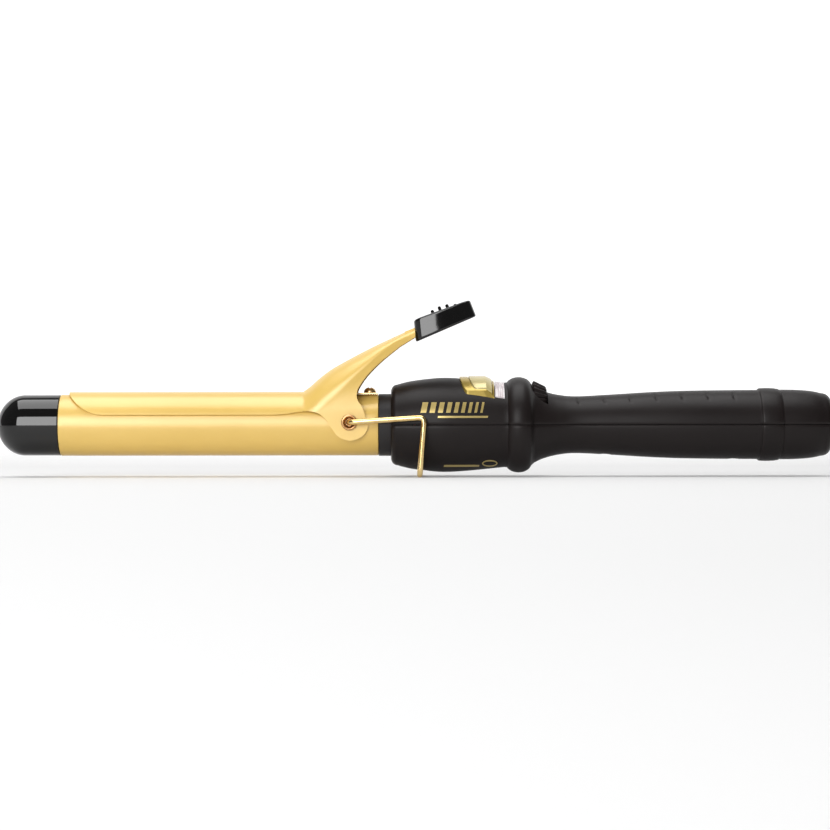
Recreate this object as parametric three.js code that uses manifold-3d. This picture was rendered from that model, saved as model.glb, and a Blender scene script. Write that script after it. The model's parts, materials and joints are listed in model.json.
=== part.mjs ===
// A spring-clamp curling iron: a heated barrel in a two-part handle, with a sprung clamp, a fold-away wire
// stand, a rocker power switch, a heat dial and a swivelling cord gland.
//
// Units are millimetres. Every piece is drawn in the tool frame: the origin is on the barrel axis just
// inside the tip, +X runs back to the handle's end, +Z is up through the thumb rest and +Y is across.
// The assembly at the end shifts the whole tool so that its origin is the bottom centre of its box.
import * as THREE from "three";
import { mergeVertices } from "three/addons/utils/BufferGeometryUtils.js";
import Module from "manifold-3d";

const wasm = await Module();
wasm.setup();

// ---------------------------------------------------------------- driving dimensions

const TIP_START = -0.9;
const HANDLE_END = 345.3;
const CLEARANCE = 0.3; // between pieces that touch or run on each other
const ROUND = 28; // sides of a full turn on a large round piece
const SMALL_ROUND = 14; // and on a small one

const BARREL_R = 12.7; // a one-inch barrel
const BARREL_WALL = 0.9;
const BARREL_BORE = BARREL_R - BARREL_WALL;
const BARREL_START = 25.7;
const BARREL_END = 157.6;
const INSIDE_R = BARREL_BORE - 0.4; // what slides into the barrel

const PIVOT_X = 145.7; // the clamp and the stand turn about this line along Y
const PIVOT_Z = 1.1;
const CLAMP_SHEET = 0.7;
const CLAMP_OUTER = 13.8;
const CLAMP_WEB = 1.0; // the sheet measured straight down through the rising lever
const EAR_R = 7.3;
const RIVET_SHANK = 2.2;
const RIVET_BORE = 1.65;
const RIVET_HEAD_R = 3.0;
const RIVET_OUTER_Y = 15.1;

const STAND_WIRE_R = 1.15;
const STAND_BAR_Z = -20.4;
const STAND_BAR_X = 174.7;
const STAND_HALF_WIDTH = 21;
const STAND_FLAT = 0.08; // the bar is worn flat by this much where it stands

const COLLAR_R = 12.9;
const SHELL_START = 162.8;
const SHELL_WALL = 2.2;
const SEAM_GAP = 0.3; // the line that shows between the two shells
const REAR_HOLE_R = 7.3;

const SWITCH_START = 191.2;
const SWITCH_END = 205.4;
const SWITCH_CROWN = 20.1;
const SWITCH_HALF_WIDTH = 14.4;
const SADDLE_SWEEP = 1.6; // how far the switch's front edge leans back down the sides
const ROCKER = { start: 195, end: 204.4, halfWidth: 13.4, gap: 0.35 };
const ROCKER_X = 199.8;
const ROCKER_PIVOT_Z = 17.5;

const LENS_START = 205.8;
const LENS_END = 209.6;
const LENS_HALF_WIDTH = 13.8;

const DIAL_Z = 8.0; // the dial's axis runs along X, this far above the barrel axis
const DIAL_START = 221.5;
const DIAL_END = 227.4;
const DIAL_R = 10.3;
const DIAL_REAR_R = 8.3;

const THUMB_CENTRE = { x: 184.8, z: 43.6 };
const THUMB_TILT = THREE.MathUtils.degToRad(21.5);
const THUMB_FRONT = -14.25; // its ends, along its own length
const THUMB_REAR = 13;
const THUMB_LEAN = 2.5; // how far its front face leans back from bottom to top
const THUMB_HALF_WIDTH = 8;

const STAND_DROP = -STAND_BAR_Z + STAND_WIRE_R - STAND_FLAT; // from the axis down to what the tool stands on

// ---------------------------------------------------------------- materials

const finish = (color, roughness, metalness = 0) =>
  new THREE.MeshStandardMaterial({ color, roughness, metalness });

const GOLD = finish(0xe8bf6a, 0.38, 0.75);
const GOLD_PLASTIC = finish(0xd9b45a, 0.2, 0.5);
const GOLD_WIRE = finish(0xe9cf8c, 0.25, 0.9);
const BRONZE = finish(0xa8693a, 0.35, 0.85);
const SOFT_BLACK = finish(0x2c2829, 0.6);
const GLOSS_BLACK = finish(0x0c0b0c, 0.12);
const HEAT_BLACK = finish(0x3a373a, 0.55);
const STEEL = finish(0xb8b8ba, 0.35, 0.9);
const ALUMINIUM = finish(0xc4c6c8, 0.45, 0.85);
const CERAMIC = finish(0xe9e6dd, 0.7);
const MICA = finish(0xcabf9e, 0.6);
const BOARD_GREEN = finish(0x2f6b3f, 0.55);
const PART_BLUE = finish(0x2f5f8c, 0.5);
const CLEAR = finish(0xeceaf0, 0.08);
const LED_RED = finish(0xc63a32, 0.3);
const WIRE_RED = finish(0xa83028, 0.6);
const WIRE_WHITE = finish(0xe6e2d8, 0.6);
const BRASS = finish(0xc9a24f, 0.3, 0.9);

// ---------------------------------------------------------------- solids

// A closed three.js geometry as a manifold solid, facing outwards.
function solid(geometry) {
  const source = geometry.index ? geometry.toNonIndexed() : geometry;
  const bare = new THREE.BufferGeometry();
  bare.setAttribute("position", source.getAttribute("position"));
  const merged = mergeVertices(bare, 1e-4);
  const corners = merged.index.array;
  const triVerts = [];
  for (let i = 0; i < corners.length; i += 3) {
    const [a, b, c] = corners.slice(i, i + 3);
    if (a !== b && b !== c && a !== c) triVerts.push(a, b, c);
  }
  const vertProperties = merged.attributes.position.array;
  const made = (order) => new wasm.Manifold(new wasm.Mesh({ numProp: 3, vertProperties, triVerts: order }));
  const first = made(new Uint32Array(triVerts));
  return first.volume() > 0 ? first : made(new Uint32Array(triVerts.reverse()));
}

function join(first, ...others) {
  return others.reduce((sum, next) => sum.add(next), first);
}

function cut(first, ...others) {
  return others.reduce((rest, next) => rest.subtract(next), first);
}

// One named mesh of the assembly.
function piece(name, shape, material) {
  const { vertProperties, triVerts } = shape.getMesh();
  const geometry = new THREE.BufferGeometry();
  geometry.setAttribute("position", new THREE.BufferAttribute(new Float32Array(vertProperties), 3));
  geometry.setIndex(new THREE.BufferAttribute(new Uint32Array(triVerts), 1));
  geometry.computeVertexNormals();
  const mesh = new THREE.Mesh(geometry, material);
  mesh.name = name;
  return mesh;
}

// A profile of [x, radius] points turned about the tool's axis.
function turned(profile, sides = ROUND) {
  const points = profile.map(([x, r]) => new THREE.Vector2(r, x));
  return solid(new THREE.LatheGeometry(points, sides).rotateZ(-Math.PI / 2));
}

function ring(x0, x1, outer, inner, sides = ROUND) {
  return turned([[x0, inner], [x0, outer], [x1, outer], [x1, inner], [x0, inner]], sides);
}

function rod(x0, x1, radius, sides = SMALL_ROUND) {
  return turned([[x0, 0], [x0, radius], [x1, radius], [x1, 0]], sides);
}

// The same, with its axis moved to (y, z).
function rodAt(y, z, x0, x1, radius, sides = SMALL_ROUND) {
  return rod(x0, x1, radius, sides).translate([0, y, z]);
}

// A profile of [height, radius] points turned about a vertical line at (x, y).
function upright(x, y, profile, sides = SMALL_ROUND) {
  const points = profile.map(([z, r]) => new THREE.Vector2(r, z));
  return solid(new THREE.LatheGeometry(points, sides).rotateX(Math.PI / 2).translate(x, y, 0));
}

function post(x, y, z0, z1, radius, sides = SMALL_ROUND) {
  return upright(x, y, [[z0, 0], [z0, radius], [z1, radius], [z1, 0]], sides);
}

// A profile of [y, radius] points turned about a line along Y at (x, z); side -1 puts it on the -Y side.
function crosswise(x, z, profile, side, sides = 16) {
  const points = profile.map(([y, r]) => new THREE.Vector2(r, y * side));
  return solid(new THREE.LatheGeometry(points, sides).translate(x, 0, z));
}

function block(x0, x1, y0, y1, z0, z1) {
  const box = new THREE.BoxGeometry(x1 - x0, y1 - y0, z1 - z0);
  return solid(box.translate((x0 + x1) / 2, (y0 + y1) / 2, (z0 + z1) / 2));
}

// An XZ outline as a prism of the given half width along Y.
function sidePrism(shape, halfWidth, curveSegments = 10) {
  const depth = 2 * halfWidth;
  const prism = new THREE.ExtrudeGeometry(shape, { depth, bevelEnabled: false, curveSegments });
  return solid(prism.translate(0, 0, -halfWidth).rotateX(Math.PI / 2));
}

// An XY outline as a prism from z0 to z1.
function planPrism(shape, z0, z1, curveSegments = 10) {
  const prism = new THREE.ExtrudeGeometry(shape, { depth: z1 - z0, bevelEnabled: false, curveSegments });
  return solid(prism.translate(0, 0, z0));
}

const MOST = 60; // larger than any reach of the tool from its axis
const above = (z) => block(-MOST, HANDLE_END + MOST, -MOST, MOST, z, MOST);
const below = (z) => block(-MOST, HANDLE_END + MOST, -MOST, MOST, -MOST, z);

// Points along a smooth curve through a few [x, radius] points.
function through(points, steps) {
  const curve = new THREE.SplineCurve(points.map(([x, r]) => new THREE.Vector2(x, r)));
  return curve.getPoints(steps).map((p) => [p.x, p.y]);
}

// Points along an ellipse about [cx, cr], from one angle to another.
function ellipse(cx, cr, a, b, from, to, steps) {
  const curve = new THREE.EllipseCurve(cx, cr, a, b, from, to, to < from);
  return curve.getPoints(steps).map((p) => [p.x, p.y]);
}

// A path through listed points, sampled at exactly those points.
class PointPath extends THREE.Curve {
  constructor(points) {
    super();
    this.points = points;
  }

  getPointAt(u) {
    return this.points[Math.round(u * (this.points.length - 1))].clone();
  }

  getTangentAt(u) {
    const last = this.points.length - 1;
    const i = Math.round(u * last);
    const before = this.points[Math.max(0, i - 1)];
    const after = this.points[Math.min(last, i + 1)];
    return after.clone().sub(before).normalize();
  }
}

// A round wire or lead along a polyline whose corners are rounded off, each by a few short steps.
function wire(points, radius, bend, cornerSteps, sides) {
  const corners = points.map((p) => new THREE.Vector3(...p));
  const path = [corners[0]];
  for (let i = 1; i < corners.length - 1; i++) {
    const back = corners[i - 1].clone().sub(corners[i]).setLength(bend).add(corners[i]);
    const on = corners[i + 1].clone().sub(corners[i]).setLength(bend).add(corners[i]);
    path.push(...new THREE.QuadraticBezierCurve3(back, corners[i], on).getPoints(cornerSteps));
  }
  path.push(corners.at(-1));
  const section = new THREE.Shape();
  section.absarc(0, 0, radius, 0, 2 * Math.PI, false);
  const options = { extrudePath: new PointPath(path), steps: path.length - 1, curveSegments: sides / 2 };
  return solid(new THREE.ExtrudeGeometry(section, options));
}

// ---------------------------------------------------------------- barrel and heater

function tipCap() {
  const dome = ellipse(10.7, 0, 10.7 - TIP_START, 12.5, Math.PI, Math.PI / 2, 6);
  dome[0] = [TIP_START, 0];
  const shoulder = BARREL_START - CLEARANCE;
  return turned([
    ...dome,
    [shoulder, 12.55],
    [shoulder, INSIDE_R],
    [31, INSIDE_R],
    [31, 9.4],
    [9, 9.4],
    [3, 4],
    [3, 0],
  ]);
}

function pivotHole(radius) {
  const reach = 20;
  return crosswise(PIVOT_X, PIVOT_Z, [[-reach, 0], [-reach, radius], [reach, radius], [reach, 0]], 1);
}

const SPRING_SCREW_X = 154;

function barrelTube() {
  const tube = ring(BARREL_START, BARREL_END, BARREL_R, BARREL_BORE, 36);
  return cut(tube, pivotHole(RIVET_SHANK + CLEARANCE), post(SPRING_SCREW_X, 0, 5, 15, 1.6));
}

// The collar's front end slides into the barrel, and its rear flange is held between the two shells.
function barrelCollar() {
  const body = turned([
    [137, 7.5],
    [137, INSIDE_R],
    [BARREL_END + CLEARANCE, INSIDE_R],
    [BARREL_END + CLEARANCE, COLLAR_R],
    [164.5, COLLAR_R],
    [164.5, 11],
    [168.5, 11],
    [168.5, 14.2],
    [172, 14.2],
    [172, 7.5],
    [137, 7.5],
  ], 20);
  return cut(body, pivotHole(RIVET_SHANK + CLEARANCE), post(SPRING_SCREW_X, 0, 5, 15, 1.6));
}

const HEATER_HALF_SLOT = 1.05;

// One half of the round aluminium core that carries the heat from the ceramic plate to the barrel.
function heatSpreader(side) {
  const core = rod(34, 126, INSIDE_R, ROUND);
  const half = side > 0 ? cut(core, below(HEATER_HALF_SLOT)) : cut(core, above(-HEATER_HALF_SLOT));
  return side > 0 ? cut(half, rodAt(0, 6, 118, 130, 1.5)) : half;
}

const ceramicHeater = () => block(40, 118, -4.5, 4.5, -0.7, 0.7);
const micaDisc = () => rod(31.4, 32.4, INSIDE_R, ROUND);
const insulatingSleeve = () => ring(126.4, 136.6, INSIDE_R, 10.6);
const thermalFuse = () => rodAt(0, -8.6, 127.6, 135.8, 1.5);
const thermistor = () => join(rodAt(0, 6, 119, 127, 1.1, 12), rodAt(0, 6, 126.5, 129, 0.6, 12));

// ---------------------------------------------------------------- clamp, spring and pivot

// The top line of the clamp and lever: the plate is level, then the lever rises to the thumb rest.
const LEVER_LINE = [
  [126.2, 13.8],
  [129.1, 15.9],
  [133.2, 19.5],
  [137.4, 22.7],
  [145.7, 27.4],
  [154.1, 31.9],
  [162.4, 35.8],
  [171.8, 40.3],
];
const LEVER_START = LEVER_LINE[0][0];
const LEVER_END = LEVER_LINE.at(-1)[0];

function between(x, table) {
  const i = Math.max(1, table.findIndex(([at]) => at >= x));
  const [x0, v0] = table[i - 1];
  const [x1, v1] = table[i];
  return v0 + ((v1 - v0) * (x - x0)) / (x1 - x0);
}

const leverTop = (x) => (x <= LEVER_START ? CLAMP_OUTER : between(x, LEVER_LINE));
const HALF_WIDTH_LINE = [[0, 13.8], [140, 13.8], [149.9, 11.8], [158.2, 9], [166.5, 7.2], [180, 5.6]];
const WALL_TOP_LINE = [[0, 0], [126.5, 0], [133.5, 6], [145.5, 15.8], [154, 25], [162.5, 32.3], [176, 38.8]];
const leverHalfWidth = (x) => between(x, HALF_WIDTH_LINE);
const wallTop = (x) => between(x, WALL_TOP_LINE); // where the side walls end and the arched top begins
const SHOULDER = 8; // the ears are upright up to here, then the walls lean in

// One cross-section of the bent sheet: an arch over the barrel, closed back along its inner side.
function archSection(x, steps = 14) {
  const line = (inset) => {
    const spring = wallTop(x);
    const crown = leverTop(x) - inset - spring;
    const upright = CLAMP_OUTER - inset;
    const points = [[x, -upright, -12], [x, -upright, Math.min(SHOULDER, spring - 0.2)]];
    for (let i = 0; i <= steps; i++) {
      const angle = Math.PI * (1 - i / steps);
      points.push([x, (leverHalfWidth(x) - inset) * Math.cos(angle), spring + crown * Math.sin(angle)]);
    }
    points.push([x, upright, Math.min(SHOULDER, spring - 0.2)], [x, upright, -12]);
    return points;
  };
  return [...line(0), ...line(sheetDepth(x)).reverse()];
}

const sheetDepth = (x) => (x <= LEVER_START ? CLAMP_SHEET : CLAMP_WEB);

// A solid skinned over sections that all have the same number of points.
function skinned(sections) {
  const count = sections[0].length;
  const positions = sections.flat(2);
  const index = [];
  for (let s = 0; s + 1 < sections.length; s++)
    for (let i = 0; i < count; i++) {
      const a = s * count + i;
      const b = s * count + ((i + 1) % count);
      index.push(a, b, a + count, b, b + count, a + count);
    }
  const flat = sections[0].map(([, y, z]) => new THREE.Vector2(y, z));
  const last = (sections.length - 1) * count;
  for (const [a, b, c] of THREE.ShapeUtils.triangulateShape(flat, [])) {
    index.push(a, b, c);
    index.push(last + c, last + b, last + a);
  }
  const geometry = new THREE.BufferGeometry();
  geometry.setAttribute("position", new THREE.Float32BufferAttribute(positions, 3));
  geometry.setIndex(index);
  return solid(geometry);
}

const TIP_OF_CLAMP = 29;
const PLATE_EDGE_Z = 4.3;

// The side view of the clamp: a long plate, an ear round the pivot, and a lever that rises to the rear.
function clampOutline() {
  const shape = new THREE.Shape();
  shape.moveTo(20, MOST);
  shape.lineTo(20, PLATE_EDGE_Z);
  shape.lineTo(118, PLATE_EDGE_Z);
  shape.splineThru([[125.5, 5.3], [130.5, 5.3], [134.4, 2.6]].map(([x, z]) => new THREE.Vector2(x, z)));
  shape.absarc(PIVOT_X, PIVOT_Z, EAR_R, THREE.MathUtils.degToRad(205), THREE.MathUtils.degToRad(370), false);
  const rear = [[151.3, 6.2], [149.2, 10.8], [149.1, 14.6], [151.2, 18.3], [158.2, 25.6], [166.6, 32.6]];
  shape.splineThru(rear.map(([x, z]) => new THREE.Vector2(x, z)));
  shape.lineTo(LEVER_END, 35.6);
  shape.lineTo(LEVER_END, MOST);
  return shape;
}

// The plan view of the plate's front end, which is round.
function clampPlan() {
  const nose = 14;
  const plateHalfWidth = 13.12;
  const clear = 20;
  const shape = new THREE.Shape();
  shape.moveTo(TIP_OF_CLAMP + nose, -clear);
  shape.lineTo(200, -clear);
  shape.lineTo(200, clear);
  shape.lineTo(TIP_OF_CLAMP + nose, clear);
  shape.absellipse(TIP_OF_CLAMP + nose, 0, nose, plateHalfWidth, Math.PI / 2, (3 * Math.PI) / 2, false);
  return shape;
}

// Puts a solid drawn in the thumb rest's own frame, X along its length and Z through its top, on the lever.
function onThumbRest(shape) {
  return shape
    .rotate([0, -THREE.MathUtils.radToDeg(THUMB_TILT), 0])
    .translate([THUMB_CENTRE.x, 0, THUMB_CENTRE.z]);
}

const TONGUE = { from: -17, to: 0, low: 0.2, high: 1.5, halfWidth: 4.4 };

function clamp() {
  const stations = [20, ...LEVER_LINE.map(([x]) => x)];
  const sheet = skinned(stations.map((x) => archSection(x)));
  const pressed = sheet
    .intersect(sidePrism(clampOutline(), 20, 7))
    .intersect(planPrism(clampPlan(), -MOST, MOST, 10));
  const tongue = onThumbRest(
    block(TONGUE.from, TONGUE.to, -TONGUE.halfWidth, TONGUE.halfWidth, TONGUE.low, TONGUE.high),
  );
  return cut(join(pressed, tongue), pivotHole(RIVET_SHANK + 0.4));
}

function thumbRest() {
  const side = new THREE.Shape();
  side.moveTo(THUMB_FRONT, -4.4);
  side.lineTo(THUMB_REAR - 0.8, -3.6);
  side.lineTo(THUMB_REAR, -2.8);
  side.lineTo(THUMB_REAR, 3);
  side.lineTo(THUMB_REAR - 0.8, 3.8);
  side.lineTo(THUMB_FRONT + THUMB_LEAN, 4.4);
  const corner = 3.2;
  const front = THUMB_FRONT + corner;
  const rear = THUMB_REAR - corner;
  const across = THUMB_HALF_WIDTH - corner;
  const plan = new THREE.Shape();
  plan.moveTo(front, -THUMB_HALF_WIDTH);
  plan.absarc(rear, -across, corner, -Math.PI / 2, 0, false);
  plan.absarc(rear, across, corner, 0, Math.PI / 2, false);
  plan.absarc(front, across, corner, Math.PI / 2, Math.PI, false);
  plan.absarc(front, -across, corner, Math.PI, (3 * Math.PI) / 2, false);
  let body = sidePrism(side, 12).intersect(planPrism(plan, -10, 10, 4));
  const pitch = 3.25;
  for (let i = -2; i <= 2; i++) {
    const top = 6 - 0.36 * i * i;
    body = join(body, block(i * pitch - 0.6, i * pitch + 0.6, -5.2, 5.2, 3, top));
  }
  const slot = CLEARANCE + 0.05;
  const reach = TONGUE.halfWidth + slot;
  const room = block(-20, TONGUE.to + slot, -reach, reach, TONGUE.low - slot, TONGUE.high + slot);
  return onThumbRest(cut(body, room));
}

// A leaf folded back on itself, drawn as squeezed: its foot lies under the screw, its free end under
// the lever.
function clampSpring() {
  const leaf = 0.6;
  const foot = BARREL_R + CLEARANCE;
  const fold = { x: 143.5, r: 2.6, rise: (2 * Math.PI) / 3 };
  const outer = fold.r + leaf / 2;
  const inner = fold.r - leaf / 2;
  const centre = foot + outer;
  const shape = new THREE.Shape();
  shape.moveTo(157, foot);
  shape.lineTo(157, foot + leaf);
  shape.lineTo(fold.x, foot + leaf);
  shape.absarc(fold.x, centre, inner, -Math.PI / 2, fold.rise, true);
  shape.lineTo(149.9, 22.2);
  shape.lineTo(152.4, 22.6);
  shape.lineTo(152.4, 23.2);
  shape.lineTo(149.6, 22.8);
  shape.absarc(fold.x, centre, outer, fold.rise, (3 * Math.PI) / 2, false);
  return cut(sidePrism(shape, 3.6, 8), post(SPRING_SCREW_X, 0, 5, 20, 1.6));
}

function panScrew(x, top, headRadius, headHeight, shankRadius, length) {
  const rim = top - headHeight;
  const crown = through([[rim, headRadius], [top - 0.25 * headHeight, 0.8 * headRadius], [top, 0]], 6);
  const tip = rim - length;
  const slot = block(x - 0.35, x + 0.35, -4, 4, top - 0.9, top + 1);
  return cut(upright(x, 0, [[tip, 0], [tip, shankRadius], [rim, shankRadius], ...crown]), slot);
}

const springScrew = () => panScrew(SPRING_SCREW_X, 16.3, 2.6, 2.4, 1.25, 5.2);

// A hollow rivet: the clamp's ear turns on its shank, and the stand's wire end turns in its bore.
function pivotRivet(side) {
  const profile = [
    [8, 0],
    [8, RIVET_SHANK],
    [14.1, RIVET_SHANK],
    [14.1, RIVET_HEAD_R],
    [RIVET_OUTER_Y - 0.4, RIVET_HEAD_R],
    [RIVET_OUTER_Y, RIVET_HEAD_R - 0.5],
    [RIVET_OUTER_Y, RIVET_BORE],
    [9.4, RIVET_BORE],
    [9.4, 0],
  ];
  return crosswise(PIVOT_X, PIVOT_Z, profile, side);
}

function standWire() {
  const armY = RIVET_OUTER_Y + CLEARANCE + STAND_WIRE_R + 0.1;
  const cornerX = 176.6;
  const cornerZ = PIVOT_Z + 2.0;
  const half = (side) => [
    [PIVOT_X, 9.9 * side, PIVOT_Z],
    [PIVOT_X, armY * side, PIVOT_Z],
    [cornerX, STAND_HALF_WIDTH * side, cornerZ],
    [STAND_BAR_X, STAND_HALF_WIDTH * side, STAND_BAR_Z],
  ];
  const bent = wire([...half(-1), ...half(1).reverse()], STAND_WIRE_R, 2.6, 4, 10);
  return cut(bent, below(-STAND_DROP));
}

// ---------------------------------------------------------------- handle

// The handle's outer profile: front housing, round flange, waist, grip, raised band and rounded end.
function handleProfile() {
  const flange = { x: 215.8, r: 16.2, a: 5.3, b: 3.66 };
  const waist = [[222.3, 15.8], [226, 14.1], [232, 12.55], [240, 11.85]];
  const grip = [[256, 12.65], [282, 14.05], [314.8, 14.4]];
  return [
    [SHELL_START, COLLAR_R + CLEARANCE + 0.05],
    [SHELL_START, 13.9],
    ...ellipse(165.4, 13.9, 165.4 - SHELL_START, 2.9, Math.PI, Math.PI / 2, 3).slice(1),
    ...through([[167, 17.3], [171.5, 18.3], [179, 19.25], [186, 19.6], [196, 19], [209.9, 17.6]], 7),
    ...ellipse(flange.x, flange.r, flange.a, flange.b, 0.86 * Math.PI, 0.08 * Math.PI, 6),
    ...through([...waist, ...grip], 8),
    [315.4, 15],
    ...through([[317.2, 15.2], [320.6, 15.1], [324, 14.5]], 2),
    ...through([[329, 14.45], [335.8, 14.1], [341.4, 13.1]], 2),
    ...ellipse(341.8, 9.8, HANDLE_END - 341.8, 3.2, 0.45 * Math.PI, 0, 3),
    [HANDLE_END, REAR_HOLE_R],
  ];
}

// The hollow inside: a rib that holds the collar, room for the board, and the rear wall round the gland.
function handleHollow() {
  return [
    [SHELL_START - 1, COLLAR_R + CLEARANCE + 0.05],
    [164.8, COLLAR_R + CLEARANCE + 0.05],
    [164.8, 11.35],
    [168.2, 11.35],
    [168.2, 14.8],
    [173, 16.1],
    [186, 19.6 - SHELL_WALL],
    [209, 17.6 - SHELL_WALL],
    [213, 16.6],
    [218.6, 16.6],
    [222, 13.4],
    [228, 11.2],
    [240, 11.85 - SHELL_WALL],
    [256, 12.65 - SHELL_WALL],
    [282, 14.05 - SHELL_WALL],
    [330, 12.2],
    [338, 11.6],
    [341.6, 10.2],
    [341.6, REAR_HOLE_R],
    [HANDLE_END + 1, REAR_HOLE_R],
  ];
}

const SCREWS = [
  { x: 176.5, floor: -6.5 },
  { x: 252, floor: -5.5 },
  { x: 305, floor: -6.5 },
];
const BOSS_R = 2.9;
const SCREW_HEAD_R = 2.3;
const SCREW_SHANK_R = 1.2;

function handleBody() {
  const outer = turned([[SHELL_START, 0], ...handleProfile().slice(1, -1), [HANDLE_END, 0]], ROUND);
  const hollow = handleHollow();
  return { outer, hollow: turned([[hollow[0][0], 0], ...hollow, [hollow.at(-1)[0], 0]], 18) };
}

// The saddle-shaped region of the switch, seen from above, grown by a margin.
function saddlePlan(x0, x1, halfWidth, margin, sweep) {
  const w = halfWidth + margin;
  const shape = new THREE.Shape();
  shape.moveTo(x1 + margin, -w);
  shape.lineTo(x1 + margin, w);
  shape.lineTo(x0 + 2 * sweep - margin, w);
  if (sweep) shape.quadraticCurveTo(x0 - 2 * sweep - margin, 0, x0 + 2 * sweep - margin, -w);
  else shape.lineTo(x0 - margin, -w);
  return planPrism(shape, 4, MOST, 8);
}

// A lip inside the upper shell's rim that reaches down behind the lower shell's rim and keeps light out
// of the seam.
function rimLip(side) {
  const deep = -1.2;
  const high = 1.2;
  const sections = handleHollow()
    .filter(([x]) => x > 173 && x < 332)
    .map(([x, r]) => {
      const inside = r - 1.3;
      const face = r - CLEARANCE - 0.2;
      const root = r + 0.5; // it runs into the shell's wall
      const line = [[inside, deep], [face, deep], [face, 0.5], [root, 0.5], [root, high], [inside, high]];
      return (side > 0 ? line.reverse() : line).map(([y, z]) => [x, side * y, z]);
    });
  return skinned(sections);
}

function upperShell() {
  const { outer, hollow } = handleBody();
  let half = cut(outer, hollow, below(SEAM_GAP / 2));
  for (const { x } of SCREWS) {
    half = join(half, post(x, 0, SEAM_GAP / 2, 17, BOSS_R).intersect(outer));
    half = cut(half, post(x, 0, -1, 6.5, SCREW_SHANK_R + CLEARANCE));
  }
  half = join(half, rimLip(-1), rimLip(1));
  return cut(
    half,
    saddlePlan(SWITCH_START, SWITCH_END, SWITCH_HALF_WIDTH, CLEARANCE, SADDLE_SWEEP),
    saddlePlan(LENS_START, LENS_END, LENS_HALF_WIDTH, CLEARANCE, 0),
    rodAt(0, DIAL_Z, DIAL_START - 0.5, DIAL_END + 0.5, DIAL_R + 0.5, ROUND),
  );
}

function lowerShell() {
  const { outer, hollow } = handleBody();
  let half = cut(outer, hollow);
  for (const { x } of SCREWS) {
    const boss = post(x, 0, -17, -SEAM_GAP / 2, BOSS_R + 0.6);
    half = join(half, boss.intersect(outer));
  }
  half = cut(half, above(-SEAM_GAP / 2));
  for (const { x, floor } of SCREWS) {
    const well = post(x, 0, -25, floor, SCREW_HEAD_R + CLEARANCE);
    const hole = post(x, 0, -25, 1, SCREW_SHANK_R + CLEARANCE);
    half = cut(half, well, hole);
  }
  return half;
}

function shellScrew({ x, floor }) {
  const head = floor - CLEARANCE;
  const profile = [
    [head - 1.8, 0],
    [head - 1.8, SCREW_HEAD_R - 0.4],
    [head - 1.2, SCREW_HEAD_R],
    [head, SCREW_HEAD_R],
    [head, SCREW_SHANK_R],
    [5.6, SCREW_SHANK_R],
    [6.1, 0.4],
    [6.1, 0],
  ];
  const drive = block(x - 1.4, x + 1.4, -0.3, 0.3, head - 3, head - 1);
  const across = block(x - 0.3, x + 0.3, -1.4, 1.4, head - 3, head - 1);
  return cut(upright(x, 0, profile, 12), drive, across);
}

// ---------------------------------------------------------------- switch, indicator and dial

// The saddle's crown line: level over the switch, then down to the indicator lens.
function saddleRing(raise, depth) {
  const top = SWITCH_CROWN + raise;
  return turned([
    [SWITCH_START - 1, top - depth],
    [SWITCH_START - 1, top],
    [SWITCH_END - 3.4, top],
    [SWITCH_END - 1.6, top - 0.9],
    [SWITCH_END + 1, top - 2.7],
    [SWITCH_END + 1, top - depth],
    [SWITCH_START - 1, top - depth],
  ]);
}

function switchBezel() {
  const plan = saddlePlan(SWITCH_START, SWITCH_END, SWITCH_HALF_WIDTH, 0, SADDLE_SWEEP);
  const opening = saddlePlan(ROCKER.start, ROCKER.end, ROCKER.halfWidth, ROCKER.gap, SADDLE_SWEEP);
  return cut(saddleRing(0, 3).intersect(plan), opening);
}

function powerRocker() {
  const plan = saddlePlan(ROCKER.start, ROCKER.end, ROCKER.halfWidth, 0, SADDLE_SWEEP);
  const cap = saddleRing(0.3, 2.6).intersect(plan);
  const stem = block(ROCKER_X - 1.5, ROCKER_X + 1.5, -3, 3, 13.4, 19);
  return join(cap, stem);
}

const switchBody = () => block(194, 205.2, -6, 6, BOARD_TOP + 0.4, 12.6);

function indicatorLens() {
  const arc = turned([
    [LENS_START, 15.9],
    [LENS_START, 17.95],
    [LENS_END, 17.75],
    [LENS_END, 15.9],
    [LENS_START, 15.9],
  ]);
  return arc.intersect(saddlePlan(LENS_START - 0.1, LENS_END + 0.1, LENS_HALF_WIDTH, 0, 0));
}

function indicatorLed() {
  const dome = ellipse(12.4, 0, 1.5, 1.5, Math.PI / 2, 0, 4);
  return upright(207.7, 0, [[9, 0], [9, 1.9], [9.8, 1.9], [9.8, 1.5], ...dome.map(([z, r]) => [z, r])], 12);
}

// A coned wheel with ribs along its rim, on the shaft of the heat control.
function heatDial() {
  const wheel = turned([
    [DIAL_START, 3.4],
    [DIAL_START, DIAL_R - 0.5],
    [DIAL_START + 0.4, DIAL_R - 0.3],
    [DIAL_END - 0.7, DIAL_REAR_R - 0.3],
    [DIAL_END, DIAL_REAR_R - 1.4],
    [DIAL_END, 3.4],
    [DIAL_START, 3.4],
  ], ROUND);
  const ribs = [];
  const count = 24;
  for (let i = 0; i < count; i++) {
    const rib = new THREE.Shape();
    rib.moveTo(DIAL_START + 0.5, DIAL_R - 1);
    rib.lineTo(DIAL_START + 0.5, DIAL_R);
    rib.lineTo(DIAL_END - 1, DIAL_REAR_R);
    rib.lineTo(DIAL_END - 1, DIAL_REAR_R - 1);
    ribs.push(sidePrism(rib, 0.5).rotate([(360 * i) / count, 0, 0]));
  }
  return join(wheel, ...ribs).translate([0, 0, DIAL_Z]);
}

function heatControl() {
  const body = rodAt(0, DIAL_Z, 212.2, 218.6, 7.6, 24);
  const bush = rodAt(0, DIAL_Z, 218, 220.6, 4.2);
  const shaft = rodAt(0, DIAL_Z, 220, 227, 3);
  return join(body, bush, shaft);
}

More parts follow.
